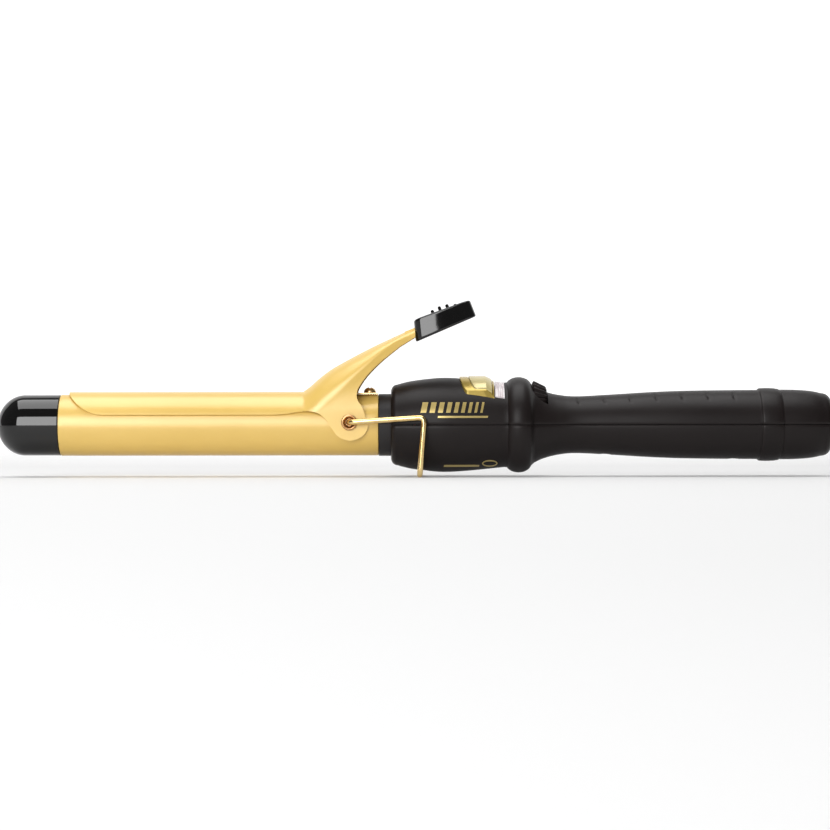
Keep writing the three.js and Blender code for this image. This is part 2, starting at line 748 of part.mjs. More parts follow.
const BOARD_TOP = 2.4;
const circuitBoard = () => block(181, 211.8, -9, 9, BOARD_TOP - 1.6, BOARD_TOP);
const triac = () => join(block(182.6, 186.6, -4, 4, 3, 12), block(183.6, 184.8, -4, 4, 12, 14.6));
const filmCapacitor = () => block(187.8, 193.2, -5.5, 5.5, 2.9, 10.4);

// ---------------------------------------------------------------- cord gland and wiring

// The gland turns in the rear wall; the cord passes through its bore to the two slip rings on its tail.
function cordGland() {
  return turned([
    [320, 3.3],
    [320, 4.2],
    [334, 4.2],
    [334, 6],
    [337.6, 9],
    [341.2, 9],
    [341.2, REAR_HOLE_R - 0.35],
    [HANDLE_END, REAR_HOLE_R - 0.35],
    [HANDLE_END, 4.6],
    [HANDLE_END - 1.4, 3.3],
    [320, 3.3],
  ], 20);
}

const slipRing = (x) => ring(x, x + 2.4, 5.4, 4.6, 20);
const contactBlock = () => block(318, 332, -5, 5, -10.3, -8.4);
const contactLeaf = (x) => block(x, x + 2, -1.6, 1.6, -8.05, -5.75);

const lead = (points) => wire(points, 0.7, 2, 2, 6);

const heaterLead = (side) =>
  lead([
    [118.5, 2.4 * side, 0],
    [130, 2.4 * side, 0],
    [140, 3.4 * side, 1],
    [163, 3.4 * side, 1],
    [168.5, 5.4 * side, -0.4],
    [190, 5.4 * side, -0.6],
  ]);

const sensorLead = () =>
  lead([
    [129.4, 0, 6],
    [136, 0, 6],
    [142, 0, 4.6],
    [161, 0, 4.6],
    [167.5, -4.6, 3.6],
    [182, -4.6, 3.6],
  ]);

const supplyLead = (side) =>
  lead([
    [200, 5.4 * side, -0.8],
    [210, 5.4 * side, -1],
    [220, 5.4 * side, -5],
    [300, 5.4 * side, -5],
    [317, 5.4 * side, -7],
  ]);

// ---------------------------------------------------------------- assembly

const tool = new THREE.Group();
tool.position.set(-(TIP_START + HANDLE_END) / 2, 0, STAND_DROP);

tool.add(
  piece("tip_cap", tipCap(), GLOSS_BLACK),
  piece("barrel_tube", barrelTube(), GOLD),
  piece("barrel_collar", barrelCollar(), HEAT_BLACK),
  piece("mica_disc", micaDisc(), MICA),
  piece("heat_spreader_upper", heatSpreader(1), ALUMINIUM),
  piece("heat_spreader_lower", heatSpreader(-1), ALUMINIUM),
  piece("ceramic_heater", ceramicHeater(), CERAMIC),
  piece("insulating_sleeve", insulatingSleeve(), MICA),
  piece("thermal_fuse", thermalFuse(), STEEL),
  piece("thermistor", thermistor(), CERAMIC),
  piece("heater_lead_live", heaterLead(-1), WIRE_RED),
  piece("heater_lead_neutral", heaterLead(1), WIRE_WHITE),
  piece("sensor_lead", sensorLead(), WIRE_WHITE),
  piece("clamp", clamp(), GOLD),
  piece("thumb_rest", thumbRest(), GLOSS_BLACK),
  piece("clamp_spring", clampSpring(), BRONZE),
  piece("spring_screw", springScrew(), BRONZE),
  piece("pivot_rivet_near", pivotRivet(-1), BRONZE),
  piece("pivot_rivet_far", pivotRivet(1), BRONZE),
  piece("stand_wire", standWire(), GOLD_WIRE),
  piece("upper_shell", upperShell(), SOFT_BLACK),
  piece("lower_shell", lowerShell(), SOFT_BLACK),
  piece("switch_bezel", switchBezel(), GOLD_PLASTIC),
  piece("power_rocker", powerRocker(), GOLD_PLASTIC),
  piece("switch_body", switchBody(), HEAT_BLACK),
  piece("indicator_lens", indicatorLens(), CLEAR),
  piece("indicator_led", indicatorLed(), LED_RED),
  piece("heat_dial", heatDial(), SOFT_BLACK),
  piece("heat_control", heatControl(), ALUMINIUM),
  piece("circuit_board", circuitBoard(), BOARD_GREEN),
  piece("triac", triac(), STEEL),
  piece("film_capacitor", filmCapacitor(), PART_BLUE),
  piece("cord_gland", cordGland(), SOFT_BLACK),
  piece("slip_ring_front", slipRing(322), BRASS),
  piece("slip_ring_rear", slipRing(328), BRASS),
  piece("contact_block", contactBlock(), HEAT_BLACK),
  piece("contact_leaf_front", contactLeaf(322.2), BRASS),
  piece("contact_leaf_rear", contactLeaf(328.2), BRASS),
  piece("supply_lead_live", supplyLead(-1), WIRE_RED),
  piece("supply_lead_neutral", supplyLead(1), WIRE_WHITE),
);
SCREWS.forEach((screw, i) => tool.add(piece(`shell_screw_${i + 1}`, shellScrew(screw), STEEL)));

const assembly = new THREE.Group();
assembly.add(tool);

export default assembly;
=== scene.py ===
"""The looks of a gold and black spring-clamp curling iron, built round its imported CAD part.

Shapes are worked out in millimetres in the tool's own frame: x runs back from just inside the barrel's
tip, y is across and z is the height over the barrel axis. place() turns that into the row's frame.
"""

import json
import math

import bmesh
import bpy
import numpy as np
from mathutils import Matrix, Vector


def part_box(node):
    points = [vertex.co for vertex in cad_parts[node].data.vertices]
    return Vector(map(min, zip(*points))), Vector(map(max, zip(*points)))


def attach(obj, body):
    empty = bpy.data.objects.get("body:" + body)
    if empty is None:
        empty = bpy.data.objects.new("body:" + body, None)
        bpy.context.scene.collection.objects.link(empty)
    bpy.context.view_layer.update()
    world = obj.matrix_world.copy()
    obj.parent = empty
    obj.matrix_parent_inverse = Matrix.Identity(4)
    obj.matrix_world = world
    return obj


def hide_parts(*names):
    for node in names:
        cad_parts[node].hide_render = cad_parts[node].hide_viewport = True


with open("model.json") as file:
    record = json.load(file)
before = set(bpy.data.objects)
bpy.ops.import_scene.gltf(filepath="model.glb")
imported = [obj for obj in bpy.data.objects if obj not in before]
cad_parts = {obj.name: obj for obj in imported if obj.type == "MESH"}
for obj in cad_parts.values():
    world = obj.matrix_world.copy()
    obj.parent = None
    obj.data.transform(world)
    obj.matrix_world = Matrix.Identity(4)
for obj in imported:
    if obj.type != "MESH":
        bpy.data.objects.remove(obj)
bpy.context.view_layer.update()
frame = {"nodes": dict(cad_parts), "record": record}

MM = 0.001
TAU = 2 * math.pi
NEAR = -1  # the side of the tool that faces the camera is -Y

# ---------------------------------------------------------------- driving dimensions, from the frame


def box_mm(node):
    """Lowest and highest corner of a CAD node, in the row frame, in millimetres."""
    low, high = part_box(node)
    return low / MM, high / MM


BARREL_LOW, BARREL_HIGH = box_mm("barrel_tube")
BARREL_R = (BARREL_HIGH.z - BARREL_LOW.z) / 2
AXIS_Z = (BARREL_HIGH.z + BARREL_LOW.z) / 2

HINGES = {joint["name"]: joint for joint in frame["record"]["behaviour"]["joints"]}
PIVOT = Vector(HINGES["clamp_hinge"]["pos_m"]) / MM
PIVOT_X = 145.7  # the pivot's place along the tool, which fixes the tool frame in the row frame
PIVOT_Z = PIVOT.z - AXIS_Z
X_SHIFT = PIVOT.x - PIVOT_X
DIAL_Z = HINGES["dial_hinge"]["pos_m"][2] / MM - AXIS_Z

BARREL_START = BARREL_LOW.x - X_SHIFT
BARREL_END = BARREL_HIGH.x - X_SHIFT
TIP_START = box_mm("tip_cap")[0].x - X_SHIFT
SHELL_START = box_mm("upper_shell")[0].x - X_SHIFT
HANDLE_END = box_mm("upper_shell")[1].x - X_SHIFT
CLAMP_START = box_mm("clamp")[0].x - X_SHIFT


def place(points):
    """Tool-frame millimetres to row-frame metres."""
    points = np.asarray(points, float).reshape(-1, 3)
    return (points + (X_SHIFT, 0, AXIS_Z)) * MM


# ---------------------------------------------------------------- camera

CAMERA_DISTANCE = 1.04
SENSOR = 36.0
PICTURE_WIDTH = 0.3456  # metres that the picture spans at the tool
CAMERA_RISE = 0.0041  # metres above the barrel axis
CAMERA_ROLL = 0.0012  # radians, the tip's end a hair lower
CAMERA_AIM = 172.75  # the place along the tool that the camera faces


def add_camera():
    data = bpy.data.cameras.new("camera")
    data.sensor_width = SENSOR
    data.lens = SENSOR * CAMERA_DISTANCE / PICTURE_WIDTH
    data.clip_end = 50
    camera = bpy.data.objects.new("camera", data)
    camera.location = ((CAMERA_AIM + X_SHIFT) * MM, -CAMERA_DISTANCE, AXIS_Z * MM + CAMERA_RISE)
    camera.rotation_euler = (math.pi / 2, CAMERA_ROLL, 0)
    bpy.context.scene.collection.objects.link(camera)
    bpy.context.scene.camera = camera


add_camera()

# ---------------------------------------------------------------- curves


def spline(points, count):
    """count points along a Catmull-Rom curve through a few points."""
    points = [np.array(p, float) for p in points]
    padded = [2 * points[0] - points[1], *points, 2 * points[-1] - points[-2]]
    spans = len(points) - 1
    curve = []
    for k in range(count):
        at = spans * k / (count - 1)
        i = min(int(at), spans - 1)
        t = at - i
        a, b, c, d = padded[i : i + 4]
        blend = 2 * b + (c - a) * t + (2 * a - 5 * b + 4 * c - d) * t**2 + (3 * b - a - 3 * c + d) * t**3
        curve.append(tuple(blend / 2))
    return curve


def ellipse(cx, cy, a, b, start, end, count):
    """count points of an ellipse's arc, its angles in degrees."""
    angles = np.radians(np.linspace(start, end, count))
    return [(cx + a * math.cos(t), cy + b * math.sin(t)) for t in angles]


def smooth_table(points):
    """A function of x that runs smoothly through a few (x, value) points."""
    xs, values = zip(*spline(points, 12 * len(points)))
    return lambda x: float(np.interp(x, xs, values))


# ---------------------------------------------------------------- mesh helpers


def new_object(name, verts, faces, material=None):
    mesh = bpy.data.meshes.new(name)
    mesh.from_pydata([tuple(v) for v in place(verts)], [], faces)
    mesh.validate()
    obj = bpy.data.objects.new(name, mesh)
    bpy.context.scene.collection.objects.link(obj)
    if material:
        mesh.materials.append(material)
    tidy_normals(obj)
    return obj


def tidy_normals(obj, sharp_degrees=35):
    """Welds double points, turns every face outwards and shades all but the sharp edges smooth."""
    bm = bmesh.new()
    bm.from_mesh(obj.data)
    bmesh.ops.remove_doubles(bm, verts=bm.verts, dist=2e-6)
    bmesh.ops.dissolve_degenerate(bm, edges=bm.edges, dist=1e-7)
    bmesh.ops.recalc_face_normals(bm, faces=bm.faces)
    bm.to_mesh(obj.data)
    bm.free()
    obj.data.shade_smooth()
    obj.data.set_sharp_from_angle(angle=math.radians(sharp_degrees))


def piece(obj, body, replaces=()):
    """Puts a finished object on its CAD body and hides the CAD nodes it stands for."""
    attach(obj, body)
    if replaces:
        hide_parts(*replaces)


def rings(sections, looped=False):
    """Verts and faces skinned over closed sections of the same number of points, with flat ends or looped."""
    count = len(sections[0])
    verts = [p for section in sections for p in section]
    faces = []
    spans = len(sections) if looped else len(sections) - 1
    for s in range(spans):
        low = s * count
        high = ((s + 1) % len(sections)) * count
        for i in range(count):
            j = (i + 1) % count
            faces.append((low + i, low + j, high + j, high + i))
    if not looped:
        faces.append(tuple(range(count)))
        faces.append(tuple(reversed(range(len(verts) - count, len(verts)))))
    return verts, faces


def turned(name, profile, material, sides=128, centre=(0, 0), wobble=None):
    """A closed profile of (x, radius) points turned about a line along X at (y, z) = centre.

    wobble(r, angle), if given, scales the radius on the way round.
    """
    sections = []
    for k in range(sides):
        angle = TAU * k / sides
        section = []
        for x, r in profile:
            reach = r * wobble(r, angle) if wobble else r
            section.append((x, centre[0] + reach * math.sin(angle), centre[1] + reach * math.cos(angle)))
        sections.append(section)
    verts, faces = rings(sections, looped=True)
    return new_object(name, verts, faces, material)


def turned_across(name, profile, at, side, material, sides=64):
    """A closed profile of (y, radius) points turned about a line along Y at (x, z) = at."""
    sections = []
    for k in range(sides):
        angle = TAU * k / sides
        sections.append(
            [(at[0] + r * math.cos(angle), side * y, at[1] + r * math.sin(angle)) for y, r in profile]
        )
    verts, faces = rings(sections, looped=True)
    return new_object(name, verts, faces, material)


def turned_upright(name, profile, at, material, sides=64):
    """A closed profile of (z, radius) points turned about an upright line at (x, y) = at."""
    sections = []
    for k in range(sides):
        angle = TAU * k / sides
        sections.append(
            [(at[0] + r * math.cos(angle), at[1] + r * math.sin(angle), z) for z, r in profile]
        )
    verts, faces = rings(sections, looped=True)
    return new_object(name, verts, faces, material)


def side_prism(name, outline, half_width, material=None):
    """An outline of (x, z) points as a prism across the tool."""
    sections = [[(x, side * half_width, z) for x, z in outline] for side in (-1, 1)]
    return new_object(name, *rings(sections), material)


def plan_prism(name, outline, low, high):
    """An outline of (x, y) points as an upright prism."""
    sections = [[(x, y, z) for x, y in outline] for z in (low, high)]
    return new_object(name, *rings(sections))


def rounded_rectangle(x0, x1, y0, y1, radius, steps=6):
    corners = [
        (x1 - radius, y1 - radius, 0),
        (x0 + radius, y1 - radius, 90),
        (x0 + radius, y0 + radius, 180),
        (x1 - radius, y0 + radius, 270),
    ]
    outline = []
    for cx, cy, start in corners:
        outline += ellipse(cx, cy, radius, radius, start, start + 90, steps)
    return outline


def apply_modifier(obj):
    """Makes what an object's modifier shows its real mesh."""
    shape = bpy.data.meshes.new_from_object(obj.evaluated_get(bpy.context.evaluated_depsgraph_get()))
    obj.modifiers.clear()
    old = obj.data
    obj.data = shape
    bpy.data.meshes.remove(old)


def carve(obj, tool, operation="DIFFERENCE"):
    """Cuts a solid away from obj, joins it on or keeps only what both share, and throws the solid away."""
    modifier = obj.modifiers.new("carve", "BOOLEAN")
    modifier.operation = operation
    modifier.solver = "EXACT"
    modifier.object = tool
    apply_modifier(obj)
    bpy.data.objects.remove(tool)


def soften(obj, width):
    """Rounds an object's sharp edges, by width millimetres."""
    modifier = obj.modifiers.new("soften", "BEVEL")
    modifier.width = width * MM
    modifier.segments = 3
    modifier.limit_method = "ANGLE"
    modifier.angle_limit = math.radians(50)
    modifier.use_clamp_overlap = True
    modifier.harden_normals = False
    apply_modifier(obj)
    tidy_normals(obj)


def swept(name, path, radius, material, sides=24):
    """A round wire along a list of points, with flat ends."""
    path = [Vector(p) for p in path]
    tangents = []
    for i, _ in enumerate(path):
        tangents.append((path[min(i + 1, len(path) - 1)] - path[max(i - 1, 0)]).normalized())
    normal = tangents[0].orthogonal().normalized()
    sections = []
    for i, point in enumerate(path):
        if i:
            normal = tangents[i - 1].rotation_difference(tangents[i]) @ normal
        across = tangents[i].cross(normal)
        section = []
        for k in range(sides):
            angle = TAU * k / sides
            section.append(tuple(point + radius * (math.cos(angle) * normal + math.sin(angle) * across)))
        sections.append(section)
    return new_object(name, *rings(sections), material)


def rounded_path(points, bend, steps=8):
    """A polyline with its corners rounded off."""
    corners = [Vector(p) for p in points]
    path = [corners[0]]
    for before, corner, after in zip(corners, corners[1:], corners[2:]):
        back = corner + (before - corner).normalized() * bend
        on = corner + (after - corner).normalized() * bend
        for k in range(steps + 1):
            t = k / steps
            path.append(back * (1 - t) ** 2 + corner * 2 * t * (1 - t) + on * t**2)
    path.append(corners[-1])
    return path


# ---------------------------------------------------------------- materials


class Nodes:
    """A small builder for procedural materials in object coordinates, which here are metres."""

    def __init__(self, name):
        self.material = bpy.data.materials.new(name)
        self.material.use_nodes = True
        self.tree = self.material.node_tree
        self.shader = self.tree.nodes["Principled BSDF"]
        self.coords = self.add("ShaderNodeTexCoord").outputs["Object"]

    def add(self, kind, **settings):
        node = self.tree.nodes.new(kind)
        for key, value in settings.items():
            setattr(node, key, value)
        return node

    def link(self, out, into):
        self.tree.links.new(out, into)

    def noise(self, scale, detail, stretch=(1, 1, 1)):
        mapping = self.add("ShaderNodeMapping")
        mapping.inputs["Scale"].default_value = stretch
        self.link(self.coords, mapping.inputs["Vector"])
        noise = self.add("ShaderNodeTexNoise")
        noise.inputs["Scale"].default_value = scale
        noise.inputs["Detail"].default_value = detail
        noise.inputs["Roughness"].default_value = 0.55
        self.link(mapping.outputs["Vector"], noise.inputs["Vector"])
        return noise.outputs["Fac"]

    def speckle(self, scale):
        cells = self.add("ShaderNodeTexVoronoi")
        cells.inputs["Scale"].default_value = scale
        self.link(self.coords, cells.inputs["Vector"])
        return cells.outputs["Distance"]

    def ramp(self, fac, stops):
        ramp = self.add("ShaderNodeValToRGB")
        elements = ramp.color_ramp.elements
        while len(elements) < len(stops):
            elements.new(0.5)
        for element, (at, color) in zip(elements, stops):
            element.position = at
            element.color = (*color, 1) if not isinstance(color, float) else (color, color, color, 1)
        self.link(fac, ramp.inputs["Fac"])
        return ramp.outputs["Color"]

    def span(self, fac, low, high, start=0.3, end=0.7):
        scale = self.add("ShaderNodeMapRange")
        scale.inputs["From Min"].default_value = start
        scale.inputs["From Max"].default_value = end
        scale.inputs["To Min"].default_value = low
        scale.inputs["To Max"].default_value = high
        self.link(fac, scale.inputs["Value"])
        return scale.outputs["Result"]

    def bump(self, height, strength, distance, below=None):
        bump = self.add("ShaderNodeBump")
        bump.inputs["Strength"].default_value = strength
        bump.inputs["Distance"].default_value = distance
        self.link(height, bump.inputs["Height"])
        if below:
            self.link(below, bump.inputs["Normal"])
        return bump.outputs["Normal"]

    def edge_wear(self, color_out, worn, strength):
        """Mixes a worn colour in along convex edges, read from the mesh's own pointiness."""
        geometry = self.add("ShaderNodeNewGeometry")
        mask = self.span(geometry.outputs["Pointiness"], 0.0, strength, 0.51, 0.58)
        mix = self.add("ShaderNodeMix", data_type="RGBA")
        self.link(mask, mix.inputs["Factor"])
        self.link(color_out, mix.inputs["A"])
        mix.inputs["B"].default_value = (*worn, 1)
        return mix.outputs["Result"]

    def done(self, base, rough=None, normal=None, **sockets):
        """Links the shader up, sets its constant sockets and gives the material."""
        self.link(base, self.shader.inputs["Base Color"])
        if rough:
            self.link(rough, self.shader.inputs["Roughness"])
        if normal:
            self.link(normal, self.shader.inputs["Normal"])
        for name, value in sockets.items():
            self.shader.inputs[name.replace("_", " ")].default_value = value
        return self.material


def satin_gold(name, light, deep, metallic, rough, shine=0.5):
    """A fired gold coating or gold paint: a fine dusty sparkle, faint cloudiness and long wipe marks."""
    m = Nodes(name)
    cloud = m.noise(45, 5)
    dust = m.noise(2600, 2)
    wipes = m.noise(60, 3, stretch=(0.15, 6, 6))
    color = m.ramp(cloud, [(0.3, deep), (0.7, light)])
    worn = m.edge_wear(color, tuple(min(1, 1.12 * c) for c in light), strength=0.4)
    normal = m.bump(dust, 0.12, 0.00002)
    normal = m.bump(cloud, 0.06, 0.0002, normal)
    roughness = m.span(wipes, rough - 0.03, rough + 0.04)
    return m.done(worn, roughness, normal, Metallic=metallic, Specular_IOR_Level=shine)


def moulded_black(name, dark, pale, rough, shine):
    """Moulded plastic: a fine spark-eroded grain, faint flow clouds, paler worn edges and a little dust."""
    m = Nodes(name)
    cloud = m.noise(30, 5)
    fine = m.noise(1500, 3)
    specks = m.ramp(m.speckle(900), [(0.0, 1.0), (0.06, 0.0)])
    color = m.ramp(cloud, [(0.25, dark), (0.75, pale)])
    worn = m.edge_wear(color, tuple(2.2 * c for c in pale), strength=0.5)
    mix = m.add("ShaderNodeMix", data_type="RGBA")
    dusty = m.add("ShaderNodeMath", operation="MULTIPLY")
    m.link(specks, dusty.inputs[0])
    dusty.inputs[1].default_value = 0.03
    m.link(dusty.outputs["Value"], mix.inputs["Factor"])
    m.link(worn, mix.inputs["A"])
    mix.inputs["B"].default_value = (0.25, 0.24, 0.23, 1)
    normal = m.bump(fine, rough / 2, 0.00003)
    roughness = m.span(cloud, 0.9 * rough, 1.15 * rough)
    return m.done(mix.outputs["Result"], roughness, normal, Specular_IOR_Level=shine)


def bright_metal(name, light, deep, rough):
    """Drawn or turned metal with fine scratches along its length and darker tarnish in patches."""
    m = Nodes(name)
    tarnish = m.noise(180, 4)
    scratches = m.noise(900, 2, stretch=(0.1, 1, 1))
    color = m.ramp(tarnish, [(0.3, deep), (0.65, light)])
    normal = m.bump(scratches, 0.1, 0.00002)
    return m.done(color, m.span(scratches, rough - 0.06, rough + 0.08), normal, Metallic=1.0)


def plain_stuff(name, light, deep, rough):
    """Inner pieces: a mottled colour and a fine surface."""
    m = Nodes(name)
    mottle = m.noise(300, 4)
    color = m.ramp(mottle, [(0.3, deep), (0.7, light)])
    normal = m.bump(m.noise(1200, 2), 0.15, 0.00003)
    return m.done(color, m.span(mottle, rough - 0.05, rough + 0.05), normal)


def clear_plastic(name):
    """A clear moulded lens, faintly milky, with streaks across it that ripple its surface; along them its
    colour runs paler and darker as painted reflections.
    """
    m = Nodes(name)
    streaks = m.noise(900, 2, stretch=(1, 0.1, 0.1))
    # painted reflections: the lens's colour runs paler and darker along the streaks
    color = m.ramp(streaks, [(0.35, (0.72, 0.62, 0.64)), (0.65, (0.97, 0.93, 0.94))])
    normal = m.bump(streaks, 0.25, 0.00008)
    return m.done(color, m.span(streaks, 0.05, 0.14), normal, Transmission_Weight=0.3, IOR=1.49)


GOLD = satin_gold("satin_gold", (0.72, 0.485, 0.12), (0.68, 0.45, 0.102), 0.06, 0.32, 0.85)
GOLD_GLOSS = satin_gold("gloss_gold", (0.50, 0.37, 0.09), (0.42, 0.30, 0.065), 0.5, 0.22)
GOLD_PALE = satin_gold("pale_gold", (0.62, 0.53, 0.26), (0.56, 0.47, 0.21), 0.25, 0.2)
GOLD_PRINT = satin_gold("gold_print", (0.52, 0.40, 0.15), (0.42, 0.31, 0.10), 0.5, 0.32)
GOLD_ROD = bright_metal("gold_wire", (0.84, 0.64, 0.31), (0.66, 0.45, 0.18), 0.18)
BRONZE = bright_metal("bronze", (0.82, 0.59, 0.30), (0.64, 0.40, 0.18), 0.28)
COPPER = bright_metal("rivet_metal", (0.62, 0.37, 0.18), (0.38, 0.20, 0.09), 0.32)
STEEL = bright_metal("plated_steel", (0.62, 0.61, 0.60), (0.42, 0.41, 0.40), 0.3)
ALUMINIUM = bright_metal("aluminium", (0.75, 0.76, 0.77), (0.58, 0.59, 0.60), 0.4)
BRASS = bright_metal("contact_brass", (0.72, 0.52, 0.22), (0.50, 0.34, 0.12), 0.3)
SOFT_BLACK = moulded_black("soft_black", (0.007, 0.0046, 0.0044), (0.0098, 0.007, 0.0067), 0.42, 0.21)
GLOSS_BLACK = moulded_black("gloss_black", (0.0013, 0.0011, 0.0011), (0.0022, 0.002, 0.002), 0.05, 0.55)
HEAT_BLACK = moulded_black("heat_black", (0.010, 0.0092, 0.0096), (0.016, 0.0145, 0.015), 0.45, 0.25)
CLEAR = clear_plastic("clear_lens")
CERAMIC = plain_stuff("ceramic", (0.82, 0.80, 0.74), (0.70, 0.67, 0.60), 0.6)
MICA = plain_stuff("mica", (0.58, 0.50, 0.34), (0.42, 0.35, 0.22), 0.5)
BOARD = plain_stuff("board_green", (0.03, 0.15, 0.05), (0.02, 0.10, 0.035), 0.4)
BLUE = plain_stuff("part_blue", (0.03, 0.11, 0.26), (0.02, 0.07, 0.18), 0.35)
RED_LED = plain_stuff("led_red", (0.55, 0.05, 0.035), (0.40, 0.03, 0.02), 0.2)
RED_LEAD = plain_stuff("lead_red", (0.40, 0.035, 0.025), (0.28, 0.02, 0.015), 0.55)
WHITE_LEAD = plain_stuff("lead_white", (0.78, 0.76, 0.70), (0.64, 0.61, 0.54), 0.6)

BY_SLOT = {
    "gold_coating": GOLD,
    "gold_plastic": GOLD_GLOSS,
    "gold_wire": GOLD_ROD,
    "bronze": BRONZE,
    "soft_black": SOFT_BLACK,
    "gloss_black": GLOSS_BLACK,
    "heat_black": HEAT_BLACK,
    "steel": STEEL,
    "aluminium": ALUMINIUM,
    "ceramic": CERAMIC,
    "mica": MICA,
    "board_green": BOARD,
    "part_blue": BLUE,
    "clear": CLEAR,
    "led_red": RED_LED,
    "lead_red": RED_LEAD,
    "lead_white": WHITE_LEAD,
    "brass": BRASS,
}


def finish_cad_nodes():
    """Gives every CAD node the procedural material of its slot."""
    slots = {part["node"]: part["material_slot"] for part in frame["record"]["subparts"]}
    for name, node in frame["nodes"].items():
        node.data.materials.clear()
        node.data.materials.append(BY_SLOT[slots[name]])


finish_cad_nodes()

# ---------------------------------------------------------------- barrel

CAP_R = 12.6
DOME = 10.7  # where the cap's dome ends
BORE_R = BARREL_R - 0.9
PLUG_R = 11.4  # what slides into the barrel
PIVOT_HOLE_R = 2.5


def pivot_hole(obj, inner, radius=PIVOT_HOLE_R):
    """Drills obj for the rivets, on both sides, from y = inner outwards."""
    for side in (-1, 1):
        drill = [(inner, 0), (inner, radius), (16, radius), (16, 0)]
        carve(obj, turned_across("hole", drill, (PIVOT_X, PIVOT_Z), side, None))


def make_tip_cap():
    """A dome and a short sleeve, hollow inside, with a spigot that plugs into the barrel."""
    shoulder = BARREL_START - 0.3
    edge = 0.2
    spigot_end = 30.9
    hollow_r = 9.4
    profile = ellipse(DOME, 0, DOME - TIP_START, CAP_R, 180, 90, 40)
    profile += [(shoulder - edge, CAP_R)]
    profile += ellipse(shoulder - edge, CAP_R - edge, edge, edge, 90, 0, 5)
    profile += [(shoulder, PLUG_R), (spigot_end, PLUG_R), (spigot_end, hollow_r)]
    profile += [(9, hollow_r), (3, 4), (3, 0)]
    cap = turned("tip_cap_fine", profile, GLOSS_BLACK)
    piece(cap, "tool", ["tip_cap"])


def make_barrel():
    """The gold sleeve, with rounded ends and a hole for each rivet."""
    edge = 0.25
    profile = [(BARREL_START, BORE_R), (BARREL_START, BARREL_R - edge)]
    profile += ellipse(BARREL_START + edge, BARREL_R - edge, edge, edge, 180, 90, 4)[1:]
    profile += [(x, BARREL_R) for x in np.linspace(BARREL_START + 2, BARREL_END - 2, 12)]
    profile += ellipse(BARREL_END - edge, BARREL_R - edge, edge, edge, 90, 0, 4)
    profile += [(BARREL_END, BORE_R)]
    barrel = turned("barrel_fine", profile, GOLD)
    pivot_hole(barrel, 8)
    tidy_normals(barrel)
    piece(barrel, "tool", ["barrel_tube"])


def make_collar():
    """The black ring at the barrel's root: a plug in the barrel, the ring, a neck and a hidden flange."""
    plug_start = 137
    start = BARREL_END + 0.1
    ring_end = 164.5
    neck_end = 168.5
    flange_end = 172
    bore_r = 7.5
    neck_r = 11
    ring_r = 12.9
    flange_r = 14.2
    edge = 0.3
    profile = [(plug_start, bore_r), (plug_start, PLUG_R), (start, PLUG_R), (start, ring_r - edge)]
    profile += ellipse(start + edge, ring_r - edge, edge, edge, 180, 90, 4)
    profile += [(ring_end, ring_r), (ring_end, neck_r), (neck_end, neck_r)]
    profile += [(neck_end, flange_r), (flange_end, flange_r), (flange_end, bore_r)]
    collar = turned("barrel_collar_fine", profile, HEAT_BLACK)
    pivot_hole(collar, 6)
    tidy_normals(collar)
    piece(collar, "tool", ["barrel_collar"])


# ---------------------------------------------------------------- clamp, pivot and spring

SHEET = 0.75  # the pressed sheet's thickness
CLAMP_R = 13.8
PLATE_EDGE_Z = 4.3  # the height of the plate's long edges over the barrel axis
LEVER_START = 126.2
LEVER_END = 172.3
EAR_LOW = -12.0  # the ears are drawn down to here, then trimmed to their outline
SHOULDER = 4.5  # the ears are upright up to here, then the walls lean in
NOSE = 15.5  # the length of the plate's round front end

# (place along the tool, value): the lever's top line, where its walls meet its arch, and its half width.
lever_line = smooth_table(
    [(LEVER_START, CLAMP_R), (129.1, 15.9), (133.2, 19.5), (137.4, 22.7), (141.5, 25.15), (145.7, 27.45)]
    + [(154.1, 31.85), (162.4, 35.8), (LEVER_END, 40.3)]
)
wall_top = smooth_table(
    [(20, 0), (122, 0), (126.5, 0.3), (129.5, 2), (133.5, 6), (137.5, 9.6), (141.5, 13.2), (145.5, 16.9)]
    + [(149.9, 21), (154, 25), (158.2, 28.9), (162.5, 32.3), (166.5, 34.6), (176, 38.8)]
)
wall_half_width = smooth_table(
    [(20, CLAMP_R), (121.5, CLAMP_R), (129.5, CLAMP_R), (137.5, 13.65), (145.5, 12.95), (153.5, 11.3)]
    + [(161.5, 9.1), (169, 7.2), (176, 6.1)]
)


def lever_top(x):
    """The clamp's top line: level over the plate, then rising from a crease."""
    return CLAMP_R if x <= LEVER_START else lever_line(x)


def clamp_section(x, inset):
    """The (y, z) line of the pressed sheet at x, from its near lower edge over the top to its far one."""
    wall_steps = 12
    arch_steps = 48
    top = lever_top(x) - inset
    spring = wall_top(x)
    foot = CLAMP_R - inset
    half = wall_half_width(x) - inset
    shoulder = min(SHOULDER, spring - 0.01)
    wall = [(-foot, EAR_LOW)]
    for k in range(wall_steps):
        rise = k / wall_steps
        lean = rise * rise * (3 - 2 * rise)
        wall.append((-foot + (foot - half) * lean, shoulder + (spring - shoulder) * rise))
    arch = ellipse(0, spring, half, max(top - spring, 0.5), 180, 0, arch_steps + 1)
    return wall + arch + [(-y, z) for y, z in reversed(wall)]


